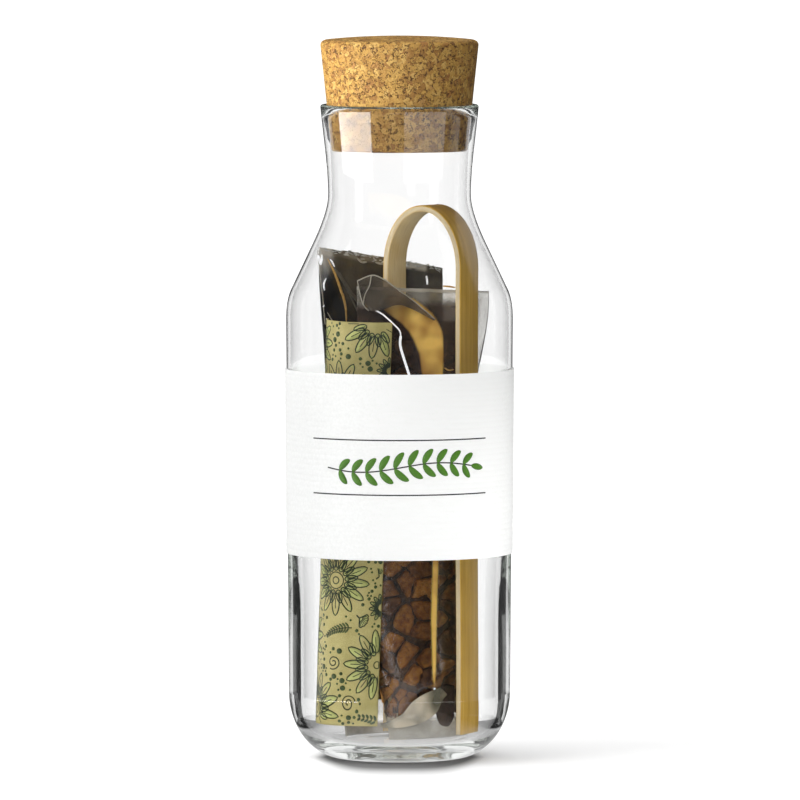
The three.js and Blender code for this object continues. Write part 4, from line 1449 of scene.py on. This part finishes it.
# Painted highlights: these glint inks stand in for lamps and neighbours mirrored in the film's creases, and
# the white one glows by itself.
white_glint = ink("white_glint", (0.80, 0.81, 0.84), (0.92, 0.93, 0.95), glow=0.6)
pale_glint = ink("pale_glint", (0.26, 0.24, 0.19), (0.46, 0.43, 0.36))
gold_glint = ink("gold_glint", (0.40, 0.22, 0.05), (0.74, 0.46, 0.13))
silver_glint = ink("silver_glint", (0.30, 0.31, 0.28), (0.75, 0.76, 0.74))
olive_glint = ink("olive_glint", (0.07, 0.062, 0.045), (0.14, 0.125, 0.09))

painted_soil_glints = [
    ("soil_painted_gold_glint", gold_glint, 0.5, [
        smooth_stroke([(-29.2, 201.5), (-26.3, 195.4), (-23.4, 187.3), (-21.8, 181.2), (-21.5, 175)],
                      1.0, 0.85)]),
    ("soil_glints", white_glint, 0.55, [
        smooth_stroke([(-28.2, 201.2), (-27.3, 200), (-26.4, 198)], 0.6, 0.8),
        smooth_stroke([(-33.0, 203), (-32.2, 200.5), (-31.8, 199)], 1.1, 0.7),
        smooth_stroke([(-31.8, 199), (-31.5, 201), (-31.4, 203.3)], 0.7, 0.7),
        smooth_stroke([(-29.7, 193.6), (-30.6, 191.2), (-30.3, 188.6)], 0.7, 0.8),
        smooth_stroke([(-30.9, 182.4), (-30.4, 182.2)], 1.0, 1.0),
        smooth_stroke([(-29.6, 177.4), (-28.8, 176.0), (-28.1, 174.6)], 0.6, 0.7),
        smooth_stroke([(10.9, 193.4), (11.2, 191.6), (11.3, 189.9)], 0.7, 0.3)]),
    ("soil_painted_pale_glints", pale_glint, 0.45, [
        smooth_stroke([(-33.2, 205), (-32.2, 196), (-31.3, 188), (-30.4, 179), (-30.0, 175)], 0.4),
        smooth_stroke([(-29.2, 179.8), (-27.4, 176.8), (-26.2, 174.8)], 0.4, 0.6),
        smooth_stroke([(-10.0, 199.3), (-7.6, 198.6), (-5.4, 198.9)], 0.9, 0.8),
        smooth_stroke([(-17.3, 201.2), (-15.4, 199.6), (-13.2, 199.5)], 1.0, 0.8)]),
    ("soil_painted_olive_glints", olive_glint, 0.4, [
        smooth_stroke([(-26.6, 197.6), (-22.6, 191.8), (-18.4, 185.2), (-13.6, 180.8), (-11, 178.6)],
                      1.5, 0.7),
        smooth_stroke([(-24.2, 195.6), (-20.4, 186.5), (-17.4, 180.4), (-14.8, 176)], 0.7, 0.7),
        smooth_stroke([(-14.4, 175.4), (-13.2, 178.2), (-11.8, 180.2)], 0.9, 0.6)]),
]
# Painted silvery highlights on the teeth of the zigzag top.
dice = np.random.default_rng(21)
painted_teeth_glints = []
for x in dice.uniform(-30, 17, 90):
    z = np.interp(x, (-32.6, 17.5), SOIL_BAG["top_z"]) - dice.uniform(0.2, 1.0) - abs(dice.normal(0, 0.9))
    lean = dice.normal(-0.15, 0.35)
    reach = dice.uniform(0.3, 1.3)
    painted_teeth_glints.append(smooth_stroke([(x - reach, z - reach * lean), (x, z + dice.normal(0, 0.15)),
                                      (x + reach, z + reach * lean)], dice.uniform(0.25, 0.7), 0.9))
painted_soil_glints.append(("soil_painted_teeth_glints", silver_glint, 0.3, painted_teeth_glints))
lay_all(painted_soil_glints, on_soil_bag)

# %% Folds and creases of the chips bag
FLAP_UPPER = [(-16.9, 193.2), (-10.7, 195.4), (-5.4, 193.2), (1.8, 187.6), (7.0, 183.6), (14.3, 177.5)]
FLAP_LOWER = [(-16.6, 192.0), (-14.9, 184.4), (-12.3, 181.2), (-6.5, 181.6), (1.0, 183.2), (14.0, 176.9)]
FOLD_UPPER = [(-7.5, 16.2), (-1.8, 18.7), (4.6, 23.9), (10.3, 27.5), (16.3, 29.5)]
FOLD_LOWER = [(-7.5, 14.3), (0.2, 14.3), (8.3, 16.3), (13.9, 20.3), (19.1, 26.4)]
CORNER_UPPER = [(14.0, 27.6), (16.5, 30.0), (19.4, 30.4), (22.0, 29.6)]
CORNER_LOWER = [(14.2, 22.0), (16.0, 15.6), (19.6, 14.2), (21.8, 18.6)]
fold_film = film_material("fold_film", (0.085, 0.06, 0.035), (0.2, 0.11, 0.06),
                          (0.13, 0.13, 0.09), (0.55, 0.48, 0.36))
show(film_patch("chips_bag_flap", FLAP_UPPER, FLAP_LOWER, on_chips_bag, 1.0, 1.2,
                dict(dust=0.5, haze=0.05, sheen=0.0)), "chips_bag_flap", fold_film, "clear_film")
# The foot fold's sheen is a painted sheen, a painted reflection.
show(film_patch("chips_bag_fold", FOLD_UPPER, FOLD_LOWER, on_chips_bag, 0.8, 1.0,
                dict(dust=0.0, haze=0.1, sheen=0.85)), "chips_bag_fold", fold_film, "clear_film")
# Painted shade: a dark film patch beside the foot fold, drawn with the dust coat.
show(film_patch("chips_bag_painted_shade", CORNER_UPPER, CORNER_LOWER, on_chips_bag, 0.5, 0.8,
                dict(dust=1.2, haze=0.0, sheen=0.0)), "chips_bag_painted_shade", chips_film, "clear_film")
# Painted highlights along the creases and folds of the chips bag.
painted_chips_glints = [
    ("chips_glint", white_glint, 0.6, [
        smooth_stroke([(-9.8, 181.4), (-6.7, 179.6), (-2.9, 176.3), (0, 173.3), (0.5, 171.1)], 0.5),
        smooth_stroke([(0.5, 171.1), (0.3, 167.4), (1.7, 162.4), (3.6, 156.6), (5, 152)], 0.95),
        smooth_stroke([(-12.6, 181.8), (-11.2, 181.8)], 1.4, 1.0)]),
    ("chips_painted_pale_glints", pale_glint, 2.4, [
        smooth_stroke(FLAP_UPPER[:3], 0.4), smooth_stroke(FLAP_UPPER[2:], 0.35),
        smooth_stroke([FLAP_UPPER[0], *FLAP_LOWER[1:3]], 0.4),
        smooth_stroke([(-11.4, 195.2), (-12.0, 191.4), (-13.8, 187.6), (-14.6, 183.8)], 0.4)]),
    ("chips_painted_gold_glints", gold_glint, 0.5, [
        smooth_stroke([(18.1, 158.2), (19.8, 157.2), (21.8, 157.4)], 0.6, 0.6),
        smooth_stroke([(17.4, 190.6), (20.5, 190.3), (22.5, 189.9)], 0.7, 0.5)]),
    ("chips_foot_glints", white_glint, 0.6, [
        smooth_stroke([(13.6, 28.6), (14.2, 29.4)], 0.9, 1.0),
        smooth_stroke([(-6.6, 15.6), (-1.4, 18.2), (4.8, 23.4)], 0.45, 0.7)]),
]
lay_all(painted_chips_glints, on_chips_bag)

# %% [markdown]
# ## Drainage chips
#
# The bag holds broken pieces of orange-brown clay, each about 8 mm across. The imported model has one
# solid for each handful. Every such solid is shared out between four stones here: four points in it
# claim what is nearest to them. A stone is then a ball of rays from its own middle. Each ray ends
# where it would meet the first wall, and because the walls are weighed together softly, its corners
# come out worn. Noise roughens the broken faces.

# %% Chip material
clay, tree, shader = new_material("clay_chips", Roughness=0.75)
place = add(tree, "TexCoord", output="Object")
tone = add(tree, "Attribute", attribute_name="tone", output="Fac")
clay_colour = colours(tree, tone, (0.0, (0.12, 0.045, 0.012)), (0.35, (0.32, 0.125, 0.022)),
                      (0.7, (0.50, 0.21, 0.035)), (1.0, (0.66, 0.34, 0.08)))
grit = noise(tree, place, 700, 5, 0.7)
gritty = colours(tree, grit, (0.3, (0.42, 0.36, 0.32)), (0.6, (1, 1, 1)))
clay_colour = blend(tree, 0.8, clay_colour, gritty, "MULTIPLY")
pores = soft(tree, add(tree, "TexVoronoi", {"Vector": place, "Scale": 1100.0}, "Distance"), 0.28, 0.12)
clay_colour = blend(tree, times(tree, pores, 0.6), clay_colour, (0.05, 0.022, 0.012))
tree.links.new(clay_colour, shader.inputs["Base Color"])
bump(tree, shader, calc(tree, "SUBTRACT", grit, pores), 0.7, 0.0006)

# %% Chips
STONES_IN_CELL, SPOTS_IN_CELL = 4, 4000
STONE_GAP, LEAST_REACH = 0.15 * MM, 0.3 * MM
ball = bmesh.new()
bmesh.ops.create_icosphere(ball, subdivisions=4, radius=1.0)
rays = np.array([vertex.co[:] for vertex in ball.verts])
ray_faces = np.array([[vertex.index for vertex in face.verts] for face in ball.faces])
ball.free()
dice = np.random.default_rng(5)


def cell_walls(node):
    """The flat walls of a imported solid: their outward directions and distances from the origin."""
    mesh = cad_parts[node].data
    normals = np.array([face.normal[:] for face in mesh.polygons])
    middles = np.array([face.center[:] for face in mesh.polygons])
    areas = np.array([face.area for face in mesh.polygons])
    normals, middles = normals[areas > 1e-9], middles[areas > 1e-9]
    walls = np.column_stack([normals, np.sum(normals * middles, axis=1)])
    return np.unique(np.round(walls, 5), axis=0)


def share_out(walls, low, high):
    """Picks points inside the walls, each far from those before it, and moves them three times to the
    middle of what is nearest to each."""
    spots = dice.uniform(low, high, (SPOTS_IN_CELL, 3))
    spots = spots[np.all(spots @ walls[:, :3].T < walls[:, 3] - LEAST_REACH, axis=1)]
    chosen = [spots[0]]
    while len(chosen) < STONES_IN_CELL:
        nearest = np.min([np.linalg.norm(spots - point, axis=1) for point in chosen], axis=0)
        chosen.append(spots[np.argmax(nearest * dice.uniform(0.75, 1, len(spots)))])
    for _ in range(3):
        owner = np.argmin([np.linalg.norm(spots - point, axis=1) for point in chosen], axis=0)
        chosen = [spots[owner == index].mean(axis=0) for index in range(STONES_IN_CELL)]
    return np.array(chosen)


def stone(middle, others, walls):
    """Rays from the middle. The inverse of a ray's length is the softly weighed largest of the inverse
    distances to all walls, those halfway to the other stones among them."""
    between = others - middle
    far = np.linalg.norm(between, axis=1)
    halfway = np.column_stack([between / far[:, None], far / 2 - STONE_GAP])
    distance = walls[:, 3] - walls[:, :3] @ middle
    planes = np.vstack([np.column_stack([walls[:, :3], distance]), halfway])
    nearness = np.clip(rays @ planes[:, :3].T, 0, None) / np.clip(planes[:, 3], LEAST_REACH, None)
    sharpness = dice.uniform(6, 13)
    reach = np.sum(nearness ** sharpness, axis=1) ** (-1 / sharpness)
    surface = middle + rays * reach[:, None]
    rough = (1.3 - 0.34 * lumps(surface, 3.4 * MM, 30) - 0.2 * lumps(surface, 1.3 * MM, 31)
             - 0.08 * lumps(surface, 0.6 * MM, 32))
    return middle + rays * (reach * rough * dice.uniform(0.92, 1.02))[:, None]


def settled(points):
    """Moves the lowest stones with the sloping foot of the filling: down on the left, up on the
    right, and not at all from a third of the bag's height on."""
    foot, head = CHIPS_BAG["foot"], CHIPS_BAG["top_z"][0]
    across = (points[:, 0] / MM - foot[0][0]) / (foot[2][0] - foot[0][0]) * 2 - 1
    drop = CHIPS_BAG["foot_slope"] * np.clip(across, -1, 1) * head * MM
    points[:, 2] += drop * (1 - smoothstep(points[:, 2], 0.1 * head * MM, head * MM / 3))
    return points


def fines_between(points):
    """How far the crumbs between the stones lie under the film, with lumps of 3 mm: everywhere deeper
    than the stones' faces."""
    return 3.4 + 1.2 * lumps(points, 3.0, 33)


# %% Fines and stones
fines, tree, shader = new_material("clay_fines", Roughness=0.9)
place = add(tree, "TexCoord", output="Object")
# Painted shade: the crumbs between the stones are real, but their near-black colour stands in for the shade
# in the gaps.
fines_painted_shade = colours(tree, noise(tree, place, 900, 4, 0.7),
                       (0.35, (0.035, 0.018, 0.010)), (0.65, (0.13, 0.065, 0.028)))
tree.links.new(fines_painted_shade, shader.inputs["Base Color"])
show(filled_mesh("clay_fines", CHIPS_BAG, 120, 60, fines_between), "clay_fines", fines, "chips")

chip_nodes = sorted(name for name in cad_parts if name.startswith("drainage_chip_"))
for node in chip_nodes:
    walls = cell_walls(node)
    low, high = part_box(node)
    middles = share_out(walls, low, high)
    points, tones = [], []
    for index, middle in enumerate(middles):
        points.append(settled(stone(middle, np.delete(middles, index, axis=0), walls)))
        worn = lumps(points[-1], 1.6 * MM, 34)
        tones.append(np.clip(dice.beta(1.3, 1.5) + 0.5 * (worn - 0.5), 0, 1))
    faces = [ray_faces + index * len(rays) for index in range(STONES_IN_CELL)]
    mesh = bpy.data.meshes.new(node + "_stones")
    mesh.from_pydata(np.vstack(points), [], np.vstack(faces).tolist())
    give(mesh, "tone", np.concatenate(tones))
    show(mesh, node + "_stones", clay, "chips", node)
print("stones:", len(chip_nodes) * STONES_IN_CELL)

# %% [markdown]
# ## Floor
#
# A plain white light table. It shines a little itself, so the floor is evenly white and the shadow of the
# bottle stays soft. It is small enough that its edge stays out of the light that the glass bends aside.
# Right under the foot it is grey and brightens outwards in a soft ramp: a painted shadow where the
# bottle touches it. Seen through glass the floor is greyer, most of all at its sides: painted shade under
# the bottle. Light that was mirrored inside the glass finds its sides painted dark, which draws the
# round heel like the wall above it.

# %% Floor material
FLOOR_GLOW, FLOOR_GLOW_INDOORS = 0.2, 0.45
# Painted contact shadow: how dark the floor is painted under the foot and how it brightens outwards.
CONTACT_SHADOW = 0.2                    # brightness right under the foot
SHADOW_START, SHADOW_END, SHADOW_POWER = 0.0437, 0.115, 0.38
SHADOW_HALF_WIDTH, SHADOW_ROUNDING, SHADOW_BEND = 0.028, 3.6, 0.0357
# Painted shade of the floor seen through glass, darkest at its sides for light mirrored inside the glass.
FLOOR_THROUGH_GLASS = (0.74, 0.42)      # in the middle and at the sides
THROUGH_GLASS_EDGE = (0.03, 0.052)
FLOOR_MIRRORED, MIRRORED_EDGE = 0.02, (0.054, 0.058)
floor_material, tree, shader = new_material("floor_white", Roughness=0.9, Specular_IOR_Level=0.0)
shader.inputs["Emission Color"].default_value = (1, 1, 1, 1)
path = add(tree, "LightPath", output=None).outputs
from_camera = path["Is Camera Ray"]
spot = add(tree, "SeparateXYZ", {0: add(tree, "TexCoord", output="Object")}, output=None).outputs
# The painted contact shadow: a ramp in the floor's colour and glow.
sideways, away = calc(tree, "ABSOLUTE", spot[0]), calc(tree, "ABSOLUTE", spot[1])
rounding = calc(tree, "POWER", calc(tree, "DIVIDE", sideways, SHADOW_HALF_WIDTH), SHADOW_ROUNDING)
beyond = calc(tree, "ADD", away, times(tree, rounding, SHADOW_BEND))
ramp = calc(tree, "POWER", soft(tree, beyond, SHADOW_START, SHADOW_END), SHADOW_POWER)
painted_contact_shadow = soft(tree, ramp, 0, 1, CONTACT_SHADOW, 1)
# Painted shade of the floor as seen through the glass.
mirrored_floor = times(tree, over(tree, path["Glossy Depth"]), soft(tree, sideways, *MIRRORED_EDGE))
through_glass = soft(tree, sideways, *THROUGH_GLASS_EDGE, *FLOOR_THROUGH_GLASS)
through_glass = choose(tree, mirrored_floor, through_glass, FLOOR_MIRRORED)
lit = choose(tree, from_camera, 1.0, painted_contact_shadow)
bent = under(tree, calc(tree, "ADD", from_camera, path["Diffuse Depth"]))
white = colours(tree, choose(tree, bent, lit, 0.0), (0.0, (0, 0, 0)), (1.0, (0.93, 0.93, 0.93)))
tree.links.new(white, shader.inputs["Base Color"])
glow = choose(tree, from_camera, FLOOR_GLOW_INDOORS, times(tree, painted_contact_shadow, FLOOR_GLOW))
tree.links.new(choose(tree, bent, glow, through_glass), shader.inputs["Emission Strength"])

# %% Floor
FLOOR_RADIUS, FLOOR_DROP, FLOOR_STEPS = 0.2, 0.0001, 128


def one_face(name, corners, material):
    """An object with a single flat face."""
    mesh = bpy.data.meshes.new(name)
    mesh.from_pydata(corners, [], [list(range(len(corners)))])
    mesh.materials.append(material)
    thing = bpy.data.objects.new(name, mesh)
    scene.collection.objects.link(thing)
    return thing


rim = np.column_stack([FLOOR_RADIUS * circle(whole_turn(FLOOR_STEPS)), np.full(FLOOR_STEPS, -FLOOR_DROP)])
floor = one_face("floor", rim, floor_material)
floor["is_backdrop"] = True
print("floor radius:", FLOOR_RADIUS, "m")

# %% [markdown]
# Photographers stand dark cards beside clear glass, so that its edge shows as a dark line. Two low cards
# do that for the round heel. Only light that was mirrored inside one wall sees them.

# %% Dark cards
CARD_ASIDE, CARD_NEAR, CARD_FAR, CARD_HEIGHT = 0.11, 0.058, 0.145, 0.045
card_material, tree, shader = new_material("dark_card")
tree.nodes.remove(shader)
path = add(tree, "LightPath", output=None).outputs
crossed = path["Transmission Depth"]
in_one_wall = times(tree, over(tree, path["Glossy Depth"]), under(tree, crossed, WALL_DEPTH))
in_one_wall = times(tree, in_one_wall, over(tree, crossed))
black = add(tree, "BsdfDiffuse", {"Color": (0.03, 0.03, 0.03, 1)})
seen = add(tree, "MixShader", {0: in_one_wall, 1: add(tree, "BsdfTransparent"), 2: black})
tree.links.new(seen, tree.nodes["Material Output"].inputs["Surface"])
for name, aside in (("dark_card_left", -CARD_ASIDE), ("dark_card_right", CARD_ASIDE)):
    corners = [(aside, CARD_NEAR, 0), (aside, CARD_FAR, 0),
               (aside, CARD_FAR, CARD_HEIGHT), (aside, CARD_NEAR, CARD_HEIGHT)]
    card = one_face(name, corners, card_material)
    card.visible_camera = card.visible_shadow = card.visible_diffuse = False
    card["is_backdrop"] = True
    print(name, "at x", aside)

# %% [markdown]
# ## Finish
#
# A ray has to pass the bottle's wall, the films and the wall again, and in the thick foot and the lip it is
# mirrored to and fro many times before it comes out. Light gets enough bounces for that.

# %% Light paths
scene.cycles.max_bounces = 128
scene.cycles.transmission_bounces = 64
scene.cycles.transparent_max_bounces = 24
scene.cycles.glossy_bounces = 128
scene.cycles.diffuse_bounces = 5
print("bounces:", scene.cycles.max_bounces)

# %% Bounds of the objects
low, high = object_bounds()
